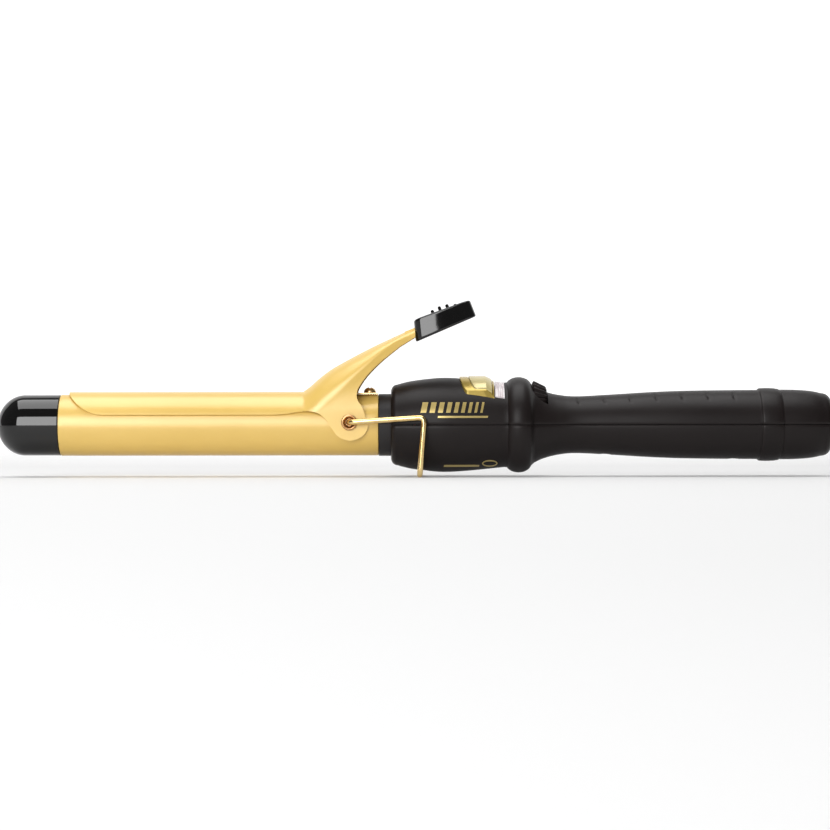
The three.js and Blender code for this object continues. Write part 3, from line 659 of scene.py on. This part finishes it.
def clamp_outline():
    """The side view: plate edge, ear round the pivot, then the lever's underside."""
    ear = ellipse(PIVOT_X + 0.3, PIVOT_Z, 7.7, 7.5, 222, 348, 24)
    outline = [(20, 60), (20, PLATE_EDGE_Z), (116, PLATE_EDGE_Z)]
    toe = [(120, 4.7), (125, 5.4), (129.4, 5.7), (133.8, 4.4), (136.7, 1.3), (138.2, -1), ear[0]]
    outline += spline(toe, 36)
    outline += ear[1:-1]
    outline += spline([ear[-1], (151.2, 6.9), (149.0, 10.6), (149.1, 14.4), (151.6, 18.6)], 16)[:-1]
    outline += spline([(151.6, 18.6), (154, 21.5), (158.2, 25.7), (162.4, 29.2), (166.6, 32.5)], 18)
    outline += [(LEVER_END + 0.6, 36.4), (LEVER_END, 60)]
    return outline


def nose_cutter():
    """What lies outside the plate's round front end: a tube with a gap on top, as wide as the plate there."""
    edge_angle = math.degrees(math.acos(PLATE_EDGE_Z / CLAMP_R))
    outer_r = 22
    inner_r = 9
    sections = []
    for x in np.linspace(CLAMP_START - 0.01, CLAMP_START + NOSE, 40):
        back = 1 - (x - CLAMP_START) / NOSE
        half_gap = max(0.5, edge_angle * math.sqrt(max(0, 1 - back * back)))
        outer = ellipse(0, 0, outer_r, outer_r, 90 + half_gap, 450 - half_gap, 80)
        inner = ellipse(0, 0, inner_r, inner_r, 450 - half_gap, 90 + half_gap, 80)
        sections.append([(x, y, z) for y, z in outer + inner])
    return new_object("nose", *rings(sections))


THUMB_TILT = math.radians(21.5)
THUMB_CENTRE = (184.8, 43.6)  # (x, z)
TONGUE_HALF_WIDTH = 4.4  # the lever's flat tongue, which is pushed into the thumb rest
TONGUE_LOW, TONGUE_HIGH = 0.2, 1.4  # its faces, in the thumb rest's frame
TONGUE_PLAY = 0.2  # what the slot is wider on each side


def on_thumb_rest(points):
    """From the thumb rest's own frame, x along it and z through its top, to the tool frame."""
    c, s = math.cos(THUMB_TILT), math.sin(THUMB_TILT)
    return [(THUMB_CENTRE[0] + x * c - z * s, y, THUMB_CENTRE[1] + x * s + z * c) for x, y, z in points]


def make_clamp():
    """The pressed sheet: plate, arch, ears and lever, its outline cut out of one long bent section."""
    stations = [CLAMP_START, 60, 80, 100, 115, 124, *np.linspace(LEVER_START, LEVER_END + 1, 50)]
    sections = []
    for x in stations:
        outer = clamp_section(x, 0)
        inner = clamp_section(x, SHEET)
        sections.append([(x, y, z) for y, z in outer + list(reversed(inner))])
    clamp = new_object("clamp_fine", *rings(sections), GOLD)
    carve(clamp, side_prism("outline", clamp_outline(), 20), "INTERSECT")
    carve(clamp, nose_cutter())
    pivot_hole(clamp, 9, PIVOT_HOLE_R + 0.1)
    half = TONGUE_HALF_WIDTH
    tongue = [(-17, -half), (0, -half), (0, half), (-17, half)]
    sections = [on_thumb_rest([(x, y, z) for x, y in tongue]) for z in (TONGUE_LOW, TONGUE_HIGH)]
    carve(clamp, new_object("tongue", *rings(sections)), "UNION")
    tidy_normals(clamp, 30)
    piece(clamp, "clamp", ["clamp"])


def make_pivots():
    """Hollow rivets with a rolled rim, one in each ear."""
    shank_r = 2.2
    bore_r = 1.65
    bore_end = 9.4
    rim = 14.15  # where the rolled rim stands on the ear
    for side, name in ((-1, "near"), (1, "far")):
        profile = [(8, 0), (8, shank_r), (rim, shank_r), (rim, 2.9)]
        profile += ellipse(rim + 0.4, 2.75, 0.55, 0.55, 140, -110, 12)
        profile += ellipse(rim + 0.45, 1.85, 0.35, 0.2, 60, 180, 4)
        profile += [(rim - 0.25, bore_r), (bore_end, bore_r), (bore_end, 0)]
        rivet = turned_across(f"rivet_{name}", profile, (PIVOT_X, PIVOT_Z), side, COPPER)
        piece(rivet, "tool", [f"pivot_rivet_{name}"])


SCREW_X = 154.0
LEAF = 0.6  # the spring leaf's thickness
LEAF_FOOT = BARREL_R + 0.05


def make_spring_screw():
    """A round-headed screw with a cross recess, through the foot of the clamp spring."""
    head = LEAF_FOOT + LEAF + 0.03
    head_r = 2.5
    shank_r = 1.25
    shank_end = 8.7
    dome = [(head + 0.3 + 2 * math.sin(a), head_r * math.cos(a)) for a in np.linspace(0, math.pi / 2, 14)]
    profile = [(shank_end, 0), (shank_end, shank_r), (head, shank_r), (head, head_r - 0.1), *dome]
    screw = turned_upright("spring_screw_fine", profile, (SCREW_X, 0), BRONZE)
    for dx, dy in ((1.5, 0.3), (0.3, 1.5)):
        slot = plan_prism("slot", rounded_rectangle(SCREW_X - dx, SCREW_X + dx, -dy, dy, 0.15), head + 1, 18)
        carve(screw, slot)
    tidy_normals(screw)
    piece(screw, "tool", ["spring_screw"])


def make_clamp_spring():
    """The folded leaf: its foot on the barrel, its free end under the lever."""
    foot_end = 157.3
    fold_x = 143.5
    outer = 2.9
    inner = outer - LEAF
    centre = LEAF_FOOT + outer
    half_width = 3.6
    hole_r = 1.6
    outline = [(foot_end, LEAF_FOOT), (foot_end, LEAF_FOOT + LEAF), (fold_x, LEAF_FOOT + LEAF)]
    outline += ellipse(fold_x, centre, inner, inner, 270, 120, 16)[1:]
    outline += [(149.9, 22.2), (152.4, 22.6), (152.4, 23.2), (149.6, 22.8)]  # the free end, bent level
    outline += ellipse(fold_x, centre, outer, outer, 120, 270, 16)
    spring = side_prism("clamp_spring_fine", outline, half_width, BRONZE)
    carve(spring, turned_upright("hole", [(5, 0), (5, hole_r), (20, hole_r), (20, 0)], (SCREW_X, 0), None))
    tidy_normals(spring)
    piece(spring, "tool", ["clamp_spring"])


THUMB_FRONT = -14.25
THUMB_REAR = 13.0
THUMB_LEAN = 2.5  # its front face leans back by this much from bottom to top
THUMB_HALF_WIDTH = 8.0
THUMB_BELLY = 0.3


def thumb_section(share, inset):
    """One level of the thumb rest, share of the way up it, drawn in by inset where its edges are rounded."""
    front = THUMB_FRONT + THUMB_LEAN * share + inset
    rear = THUMB_REAR - inset
    half = THUMB_HALF_WIDTH - THUMB_BELLY - inset
    middle = (front + rear) / 2
    section = []
    for x, y in rounded_rectangle(front, rear, -half, half, 3.6 - inset, 10):
        back = (x - THUMB_FRONT) / (THUMB_REAR - THUMB_FRONT)
        belly = THUMB_BELLY * (1 - ((x - middle) / (rear - middle)) ** 2)
        low = -4.4 + 0.8 * back
        high = 4.3 - 0.65 * back + 1.8 * back * (1 - back)
        section.append((x, y + math.copysign(belly, y), low + (high - low) * share))
    return on_thumb_rest(section)


def make_thumb_rest():
    """A block with rounded corners, faintly bellied sides, five ribs on top and a slot for the lever."""
    fillet = 0.8
    height = 8.4
    quarter = np.radians(np.linspace(-90, 0, 7))
    lower = [(fillet * (1 + math.sin(a)) / height, fillet * (1 - math.cos(a))) for a in quarter]
    lower.append((1.3 * fillet / height, 0))  # keeps the sides' shading flat between the rounded edges
    levels = lower + [(1 - share, inset) for share, inset in reversed(lower)]
    thumb = new_object("thumb_rest_fine", *rings([thumb_section(*level) for level in levels]), GLOSS_BLACK)
    pitch = 3.25
    half_rib = 0.68
    rib_reach = 5.2
    for i in range(-2, 3):
        top = 5.9 - 0.36 * i * i  # the outer ribs are lower
        rib = rounded_rectangle(i * pitch - half_rib, i * pitch + half_rib, 3, top, 0.5, 5)
        bar = rings([on_thumb_rest([(x, side * rib_reach, z) for x, z in rib]) for side in (-1, 1)])
        carve(thumb, new_object("rib", *bar), "UNION")
    half = TONGUE_HALF_WIDTH + TONGUE_PLAY
    room = [(-20, -half), (TONGUE_PLAY, -half), (TONGUE_PLAY, half), (-20, half)]
    faces = (TONGUE_LOW - TONGUE_PLAY, TONGUE_HIGH + TONGUE_PLAY)
    slot = rings([on_thumb_rest([(x, y, z) for x, y in room]) for z in faces])
    carve(thumb, new_object("slot", *slot))
    tidy_normals(thumb)
    piece(thumb, "clamp", ["thumb_rest"])


WIRE_R = 1.15
STAND_HALF_WIDTH = 20.97  # to the middle of the wire


def make_stand():
    """One bent wire: from inside a rivet out, back along the housing, down, across and the same again."""
    inner_y = 9.9
    arm_y = 16.65
    elbow_x = 176.6
    bar_x = 174.7
    bar_z = -20.35
    bend = 2.6
    near = [
        (PIVOT_X, inner_y, PIVOT_Z),
        (PIVOT_X, arm_y, PIVOT_Z),
        (elbow_x, STAND_HALF_WIDTH, PIVOT_Z + 2),
        (bar_x, STAND_HALF_WIDTH, bar_z),
    ]
    far = [(x, -y, z) for x, y, z in reversed(near)]
    wire = swept("stand_wire_fine", rounded_path(near + far, bend), WIRE_R, GOLD_ROD)
    for vertex in wire.data.vertices:  # the bar's underside is flat where it stands on the table
        vertex.co.z = max(vertex.co.z, 0)
    piece(wire, "stand", ["stand_wire"])


# ---------------------------------------------------------------- handle shells

BAND = (315.4, 324.0)  # the raised band near the handle's end
BAND_BOW = 0.4
NOTCHES = [239.7 + 10.7 * k for k in range(7)]
NOTCH_DEPTH = 0.34
NOTCH_WIDTH = 0.5


def handle_line():
    """The handle's profile as (x, radius) points: housing, flange, waist, grip, band and rounded end."""
    line = [(SHELL_START, 13.4)]
    line += ellipse(165.4, 13.9, 165.4 - SHELL_START, 2.9, 180, 90, 14)
    line += spline([(167, 17.3), (171.5, 18.3), (179, 19.25), (186, 19.6), (196, 19), (209.9, 17.6)], 60)
    line += ellipse(215.8, 16.2, 5.3, 3.66, 156, 14, 26)
    line += spline([(222.3, 15.8), (226, 14.1), (232, 12.55), (240, 11.85), (256, 12.65)], 160)[:-1]
    line += spline([(256, 12.65), (269, 13.45), (282, 14.0), (300, 14.3), (BAND[0] - 0.5, 14.4)], 130)
    line += [(BAND[0] - 0.1, 14.45), (BAND[0], 14.8), (BAND[0] + 0.25, 15.0)]
    line += spline([(BAND[0] + 0.8, 15.1), (318.4, 15.2), (321.5, 15.1), (BAND[1] - 0.6, 14.85)], 14)
    line += [(BAND[1] - 0.15, 14.7), (BAND[1], 14.4), (BAND[1] + 0.3, 14.35), (BAND[1] + 0.5, 14.5)]
    line += spline([(327, 14.5), (331, 14.42), (335.8, 14.1), (339, 13.65), (341.4, 13.1)], 20)
    line += ellipse(341.8, 9.8, HANDLE_END - 341.8, 3.2, 81, 0, 12)
    return line


def handle_radius(x):
    xs, rs = zip(*handle_line())
    return float(np.interp(x, xs, rs))


# (x, radius) of the handle's inside, from its end to its front.
HOLLOW = [
    (HANDLE_END, 7.3),
    (341.6, 7.3),
    (341.6, 10.2),
    (338, 11.6),
    (330, 12.2),
    (282, 11.9),
    (256, 10.4),
    (240, 9.6),
    (228, 11.2),
    (222, 13.4),
    (218.6, 16.3),
    (213, 16.3),
    (209, 15.4),
    (186, 17.3),
    (173, 16.0),
    (168.2, 14.8),
    (168.2, 11.35),
    (164.8, 11.35),
    (164.8, 13.25),
    (SHELL_START, 13.25),
]


def notch_depth(x, lean):
    """The grip's finger marks: short shallow grooves beside the crown, slanting back as they come down."""
    first, last, blend = 20, 48, 8  # degrees away from the top
    if not first < lean < last:
        return 0
    fade = min(1, (lean - first) / blend, (last - lean) / blend)
    slant = 2.2 * (1 - math.cos(math.radians(1.3 * lean)))
    depth = sum(math.exp(-(((x - at - slant) / NOTCH_WIDTH) ** 2)) for at in NOTCHES)
    return NOTCH_DEPTH * fade * depth


def band_bulge(x, rise):
    """The band's edges bow back on the sides of the handle."""
    window = max(0, 1 - abs(x - sum(BAND) / 2) / 14)
    return BAND_BOW * window * (1 - rise**2)


def half_shell(name, top):
    """One lengthwise half of the handle, with its edge along the seam rounded over."""
    sides = 120
    half_seam = 0.15
    rounding = 0.3
    rounding_width = 0.45
    line = handle_line()
    sections = []
    for k in range(sides + 1):
        rise = math.pi * k / sides
        section = []
        lean = abs(90 - math.degrees(rise))
        for x, r in line + HOLLOW:
            outside = len(section) < len(line)
            if outside:
                if top:
                    r -= notch_depth(x, lean)
                away = r * min(rise, math.pi - rise)
                r -= rounding * math.exp(-((away / rounding_width) ** 2))
                x += band_bulge(x, math.sin(rise)) if x < HANDLE_END - 1 else 0
            y = r * math.cos(rise)
            z = r * math.sin(rise)
            z = max(z, half_seam)
            section.append((x, y, z if top else -z))
        sections.append(section)
    return new_object(name, *rings(sections), SOFT_BLACK)


def seam_lip(side):
    """A strip inside the upper shell's rim that reaches down behind the lower shell's and keeps light out."""
    sections = []
    for x, r in reversed(HOLLOW):
        if 173 <= x <= 338:
            face = r - 0.45
            inside = r - 1.3
            root = r + 0.6
            reach = 1.2
            step = 0.4
            line = [(inside, -reach), (face, -reach), (face, step)]
            line += [(root, step), (root, reach), (inside, reach)]
            sections.append([(x, side * y, z) for y, z in line])
    return new_object("lip", *rings(sections))


# Where each piece on the housing's top begins and ends along the tool.
SWITCH = (191.2, 205.4)
SWITCH_HALF_WIDTH = 14.2
ROCKER = (195.0, 204.4)
ROCKER_HALF_WIDTH = 13.4
LENS = (205.8, 209.6)
LENS_HALF_WIDTH = 13.8
SWEEP = 3.2  # how far the saddle's front edge leans back where it comes down the sides
CROWN = (4, 40)  # the heights between which plan outlines are cut out of the housing's crown
DIAL = (221.5, 227.4)


def saddle_plan(x0, x1, half_width, margin=0.0, sweep=0.0):
    """The plan outline of a saddle that lies across the top of the housing."""
    w = half_width + margin
    back = x1 + margin
    front = x0 - margin
    if not sweep:
        return [(back, -w), (back, w), (front, w), (front, -w)]
    angles = np.linspace(math.pi / 2, -math.pi / 2, 17)
    edge = [(front + sweep * (1 - math.cos(a)), w * math.sin(a)) for a in angles]
    return [(back, -w), (back, w), *edge]


def make_shells():
    """The upper shell with its openings for switch, lens and dial, and the lower one with its screw wells."""
    slot_r = 10.7
    well_r = 2.6
    upper = half_shell("upper_shell_fine", True)
    for side in (-1, 1):
        carve(upper, seam_lip(side), "UNION")
    carve(upper, plan_prism("cut", saddle_plan(*SWITCH, SWITCH_HALF_WIDTH, 0.2, SWEEP), *CROWN))
    carve(upper, plan_prism("cut", saddle_plan(*LENS, LENS_HALF_WIDTH, 0.2), *CROWN))
    x0, x1 = DIAL[0] - 0.3, DIAL[1] + 0.3
    carve(upper, turned("slot", [(x0, 0), (x0, slot_r), (x1, slot_r), (x1, 0)], None, 64, (0, DIAL_Z)))
    tidy_normals(upper, 32)
    piece(upper, "tool", ["upper_shell"])
    lower = half_shell("lower_shell_fine", False)
    for screw in (name for name in frame["nodes"] if name.startswith("shell_screw")):
        low, high = box_mm(screw)
        head = low.z - AXIS_Z
        well = [(-30, 0), (-30, well_r), (head + 2, well_r), (head + 2, 0)]
        carve(lower, turned_upright("well", well, ((low.x + high.x) / 2 - X_SHIFT, 0), None, 32))
    tidy_normals(lower, 32)
    piece(lower, "tool", ["lower_shell"])


# ---------------------------------------------------------------- switch, lens and dial


def saddle_piece(name, plan, line, thickness, edge, material, ribs=None):
    """A curved plate across the housing's top: line gives its (x, radius), plan trims it, edge rounds it.

    ribs, if given, tells how far the outside is raised at x.
    """
    xs = np.linspace(line[0][0], line[-1][0], 60)
    radius = [float(np.interp(x, [p[0] for p in line], [p[1] for p in line])) for x in xs]
    reach = 62  # degrees to each side of the top
    angles = np.radians(np.linspace(-reach, reach, 90))
    sections = []
    for x, r in zip(xs, radius):
        lift = ribs(x) if ribs else 0
        outer = [(x, (r + lift) * math.sin(a), (r + lift) * math.cos(a)) for a in angles]
        inner = [(x, (r - thickness) * math.sin(a), (r - thickness) * math.cos(a)) for a in reversed(angles)]
        sections.append(outer + inner)
    plate = new_object(name, *rings(sections), material)
    carve(plate, plan_prism("trim", plan, *CROWN), "INTERSECT")
    tidy_normals(plate)
    if edge:
        soften(plate, edge)
    return plate


def make_switch():
    """The gold saddle, sunk where the rocker lies, and the rocker that stands a little proud of it."""
    crown = box_mm("switch_bezel")[1].z - AXIS_Z
    line = [(SWITCH[0] - 1, crown), (202, crown), (203.8, crown - 0.9), (SWITCH[1] + 1, crown - 2.7)]
    thickness = 3
    edge = 0.3
    sink = 1.6
    gap = 0.35
    proud = 0.25
    outline = saddle_plan(*SWITCH, SWITCH_HALF_WIDTH, 0, SWEEP)
    bezel = saddle_piece("switch_bezel_fine", outline, line, thickness, edge, GOLD_GLOSS)
    over = [(x, r + thickness) for x, r in line]
    window = saddle_plan(*ROCKER, ROCKER_HALF_WIDTH, gap, SWEEP)
    carve(bezel, saddle_piece("window", window, over, thickness + sink, 0, None))
    tidy_normals(bezel)
    piece(bezel, "tool", ["switch_bezel"])
    raised = [(x, r + proud) for x, r in line]
    outline = saddle_plan(*ROCKER, ROCKER_HALF_WIDTH, 0, SWEEP)
    cap = saddle_piece("power_rocker_fine", outline, raised, 1.2, edge, GOLD_PALE)
    piece(cap, "rocker", ["power_rocker"])


def lens_flute(x):
    """Shallow flutes across the lens, a little under a millimetre apart."""
    depth = 0.12
    pitch = 0.95
    return -depth / 2 * (1 - math.cos(TAU * (x - LENS[0]) / pitch))


def make_lens():
    """The clear window over the indicator lamp."""
    line = [(LENS[0] - 0.2, 18.3), (LENS[1] + 0.2, 17.9)]
    outline = saddle_plan(*LENS, LENS_HALF_WIDTH)
    lens = saddle_piece("indicator_lens_fine", outline, line, 2, 0.2, CLEAR, lens_flute)
    piece(lens, "tool", ["indicator_lens"])


def make_dial():
    """A coned wheel whose rim is knurled with straight ridges."""
    front, back = DIAL
    rim = 10.3
    rear = 8.3
    bore_r = 3.4
    ridges = 24
    ridge_depth = 0.9
    profile = [(front, bore_r), (front, rim - 0.9), (front + 0.3, rim - 0.35), (front + 0.7, rim - 0.02)]
    profile += [(back - 1.1, rear), (back - 0.4, rear - 0.4), (back, rear - 1.2), (back, bore_r)]

    def knurl(r, angle):
        if r < rear - 1:
            return 1
        return 1 - ridge_depth * (1 - abs(math.cos(ridges * angle / 2)) ** 0.7) / rim

    dial = turned("heat_dial_fine", profile, SOFT_BLACK, 12 * ridges, (0, DIAL_Z), knurl)
    piece(dial, "dial", ["heat_dial"])


def make_gland():
    """The turning collar in the handle's end, where the cord goes in: a tube, a flange and a flared mouth."""
    tube_start = 320
    tube_end = 334
    flange_start = 337.6
    flange_end = 341.2
    bore_r = 3.3
    tube_r = 4.2
    flange_r = 9
    face_r = 6.95  # the end face, level with the handle's end
    edge = 0.4
    mouth = ellipse(HANDLE_END - 0.3, 4.9, 0.3, 0.3, 0, -90, 4)
    profile = [(tube_start, bore_r), (tube_start, tube_r), (tube_end, tube_r), (tube_end, 6)]
    profile += [(flange_start, flange_r), (flange_end, flange_r), (flange_end, face_r)]
    profile += ellipse(HANDLE_END - edge, face_r - edge, edge, edge, 90, 0, 5)
    profile += [mouth[1], mouth[-1], (HANDLE_END - 1.4, 3.5), (HANDLE_END - 2.4, bore_r)]
    gland = turned("cord_gland_fine", profile, SOFT_BLACK, 96)
    piece(gland, "gland", ["cord_gland"])


# ---------------------------------------------------------------- gold print on the housing


def on_housing(x, z, lift):
    """A point of the housing's near side at (x, z), raised by lift."""
    r = handle_radius(x)
    scale = (r + lift) / r
    return x, NEAR * math.sqrt(r * r - z * z) * scale, z * scale


def print_patch(name, at, columns, rows, looped=False):
    """A thin print on the near side; at(u, v) gives its (x, z) for u along it and v up it, from 0 to 1."""
    half_thickness = 0.05
    sections = []
    for i in range(columns if looped else columns + 1):
        edge = [at(i / columns, j / rows) for j in range(rows + 1)]
        outer = [on_housing(x, z, half_thickness) for x, z in edge]
        inner = [on_housing(x, z, -half_thickness) for x, z in reversed(edge)]
        sections.append(outer + inner)
    patch = new_object(name, *rings(sections, looped=looped), GOLD_PRINT)
    piece(patch, "tool")


def slanted_bar(x0, x1, z0, z1, slant):
    """A bar whose top is slant millimetres further back than its foot."""

    def at(u, v):
        return x0 + (x1 - x0) * u + slant * v, z0 + (z1 - z0) * v

    return at


def flat_ring(x, z, a, b, thickness):
    """An oval ring round (x, z) with half axes a and b."""

    def at(u, v):
        return (
            x + (a - thickness * v) * math.cos(TAU * u),
            z + (b - thickness * v) * math.sin(TAU * u),
        )

    return at


def make_print():
    """A plain ornament: a row of slanted bars that grow thinner, a fine line, and a bar and ring below."""
    low, high = 5.0, 9.3
    slant = 0.9
    space = 1.35
    x = 175.0
    for i in range(9):
        width = 2.3 - 0.17 * i
        print_patch(f"print_bar_{i + 1}", slanted_bar(x, x + width, low, high, slant), 3, 8)
        x += width + space
    print_patch("print_line", slanted_bar(182, 202.5, 2.9, 3.7, 0.2), 24, 2)
    print_patch("print_low_bar", slanted_bar(184.6, 199.2, -17.3, -16.5, 0.1), 18, 2)
    print_patch("print_low_ring", flat_ring(203.6, -15.9, 3.2, 1.4, 0.5), 48, 1, looped=True)


make_tip_cap()
make_barrel()
make_collar()
make_clamp()
make_pivots()
make_spring_screw()
make_clamp_spring()
make_thumb_rest()
make_stand()
make_shells()
make_switch()
make_lens()
make_dial()
make_gland()
make_print()

# ---------------------------------------------------------------- floor, backdrop and light


def make_studio():
    """A pale floor that curves up into a backdrop far behind the tool, where it grows brighter."""
    m = Nodes("studio_white")
    place_on_floor = m.add("ShaderNodeSeparateXYZ")
    m.link(m.coords, place_on_floor.inputs["Vector"])
    away = m.span(place_on_floor.outputs["Y"], 0, 1, 0.2, 1.6)  # 0 near the tool, 1 at the backdrop
    cloud = m.span(m.noise(2, 2), -0.02, 0.02)
    tint = m.add("ShaderNodeMath", operation="ADD")
    m.link(away, tint.inputs[0])
    m.link(cloud, tint.inputs[1])
    color = m.ramp(tint.outputs["Value"], [(0.0, (0.6, 0.6, 0.6)), (1.0, (0.9, 0.9, 0.9))])
    white = m.done(color, Roughness=0.9, Emission_Color=(1, 1, 1, 1))
    m.link(m.span(away, 0.14, 0.75, 0, 1), m.shader.inputs["Emission Strength"])
    front = -4.0  # metres, as is all of the floor
    depth = 3.0
    height = 4.0
    half_width = 5.0
    curve = 1.5
    line = [(front, 0.0), (depth - curve, 0.0)]
    line += ellipse(depth - curve, curve, curve, curve, 270, 360, 24)[1:]
    line += [(depth, height)]
    verts = [(x, y, z) for y, z in line for x in (-half_width, half_width)]
    faces = [(2 * i, 2 * i + 1, 2 * i + 3, 2 * i + 2) for i in range(len(line) - 1)]
    mesh = bpy.data.meshes.new("studio_floor")
    mesh.from_pydata(verts, [], faces)
    mesh.shade_smooth()
    mesh.materials.append(white)
    floor = bpy.data.objects.new("studio_floor", mesh)
    bpy.context.scene.collection.objects.link(floor)


def add_softbox(name, location, facing, size, radiance):
    """A rectangular lamp; its radiance sets how bright it looks in a mirror, whatever its size."""
    data = bpy.data.lights.new(name, "AREA")
    data.shape = "RECTANGLE"
    data.size, data.size_y = size
    data.energy = radiance * math.pi * size[0] * size[1]
    lamp = bpy.data.objects.new(name, data)
    lamp.location = location
    lamp.rotation_euler = Vector(facing).to_track_quat("-Z", "Y").to_euler()
    bpy.context.scene.collection.objects.link(lamp)


def add_light():
    """One softbox overhead and one in front, to the left of the camera."""
    world = bpy.data.worlds.new("studio_world")
    world.use_nodes = True
    background = world.node_tree.nodes["Background"]
    background.inputs["Color"].default_value = (1, 1, 1, 1)
    background.inputs["Strength"].default_value = 0.15
    bpy.context.scene.world = world
    add_softbox("overhead", (-0.1, 0, 1.02), (0, 0, -1), (1.0, 0.9), 3.7)
    add_softbox("front", (-0.47, -1.3, 0.435), (0, 1, 0), (0.86, 0.83), 7)
    bpy.context.scene.view_settings.view_transform = "Standard"


make_studio()
add_light()
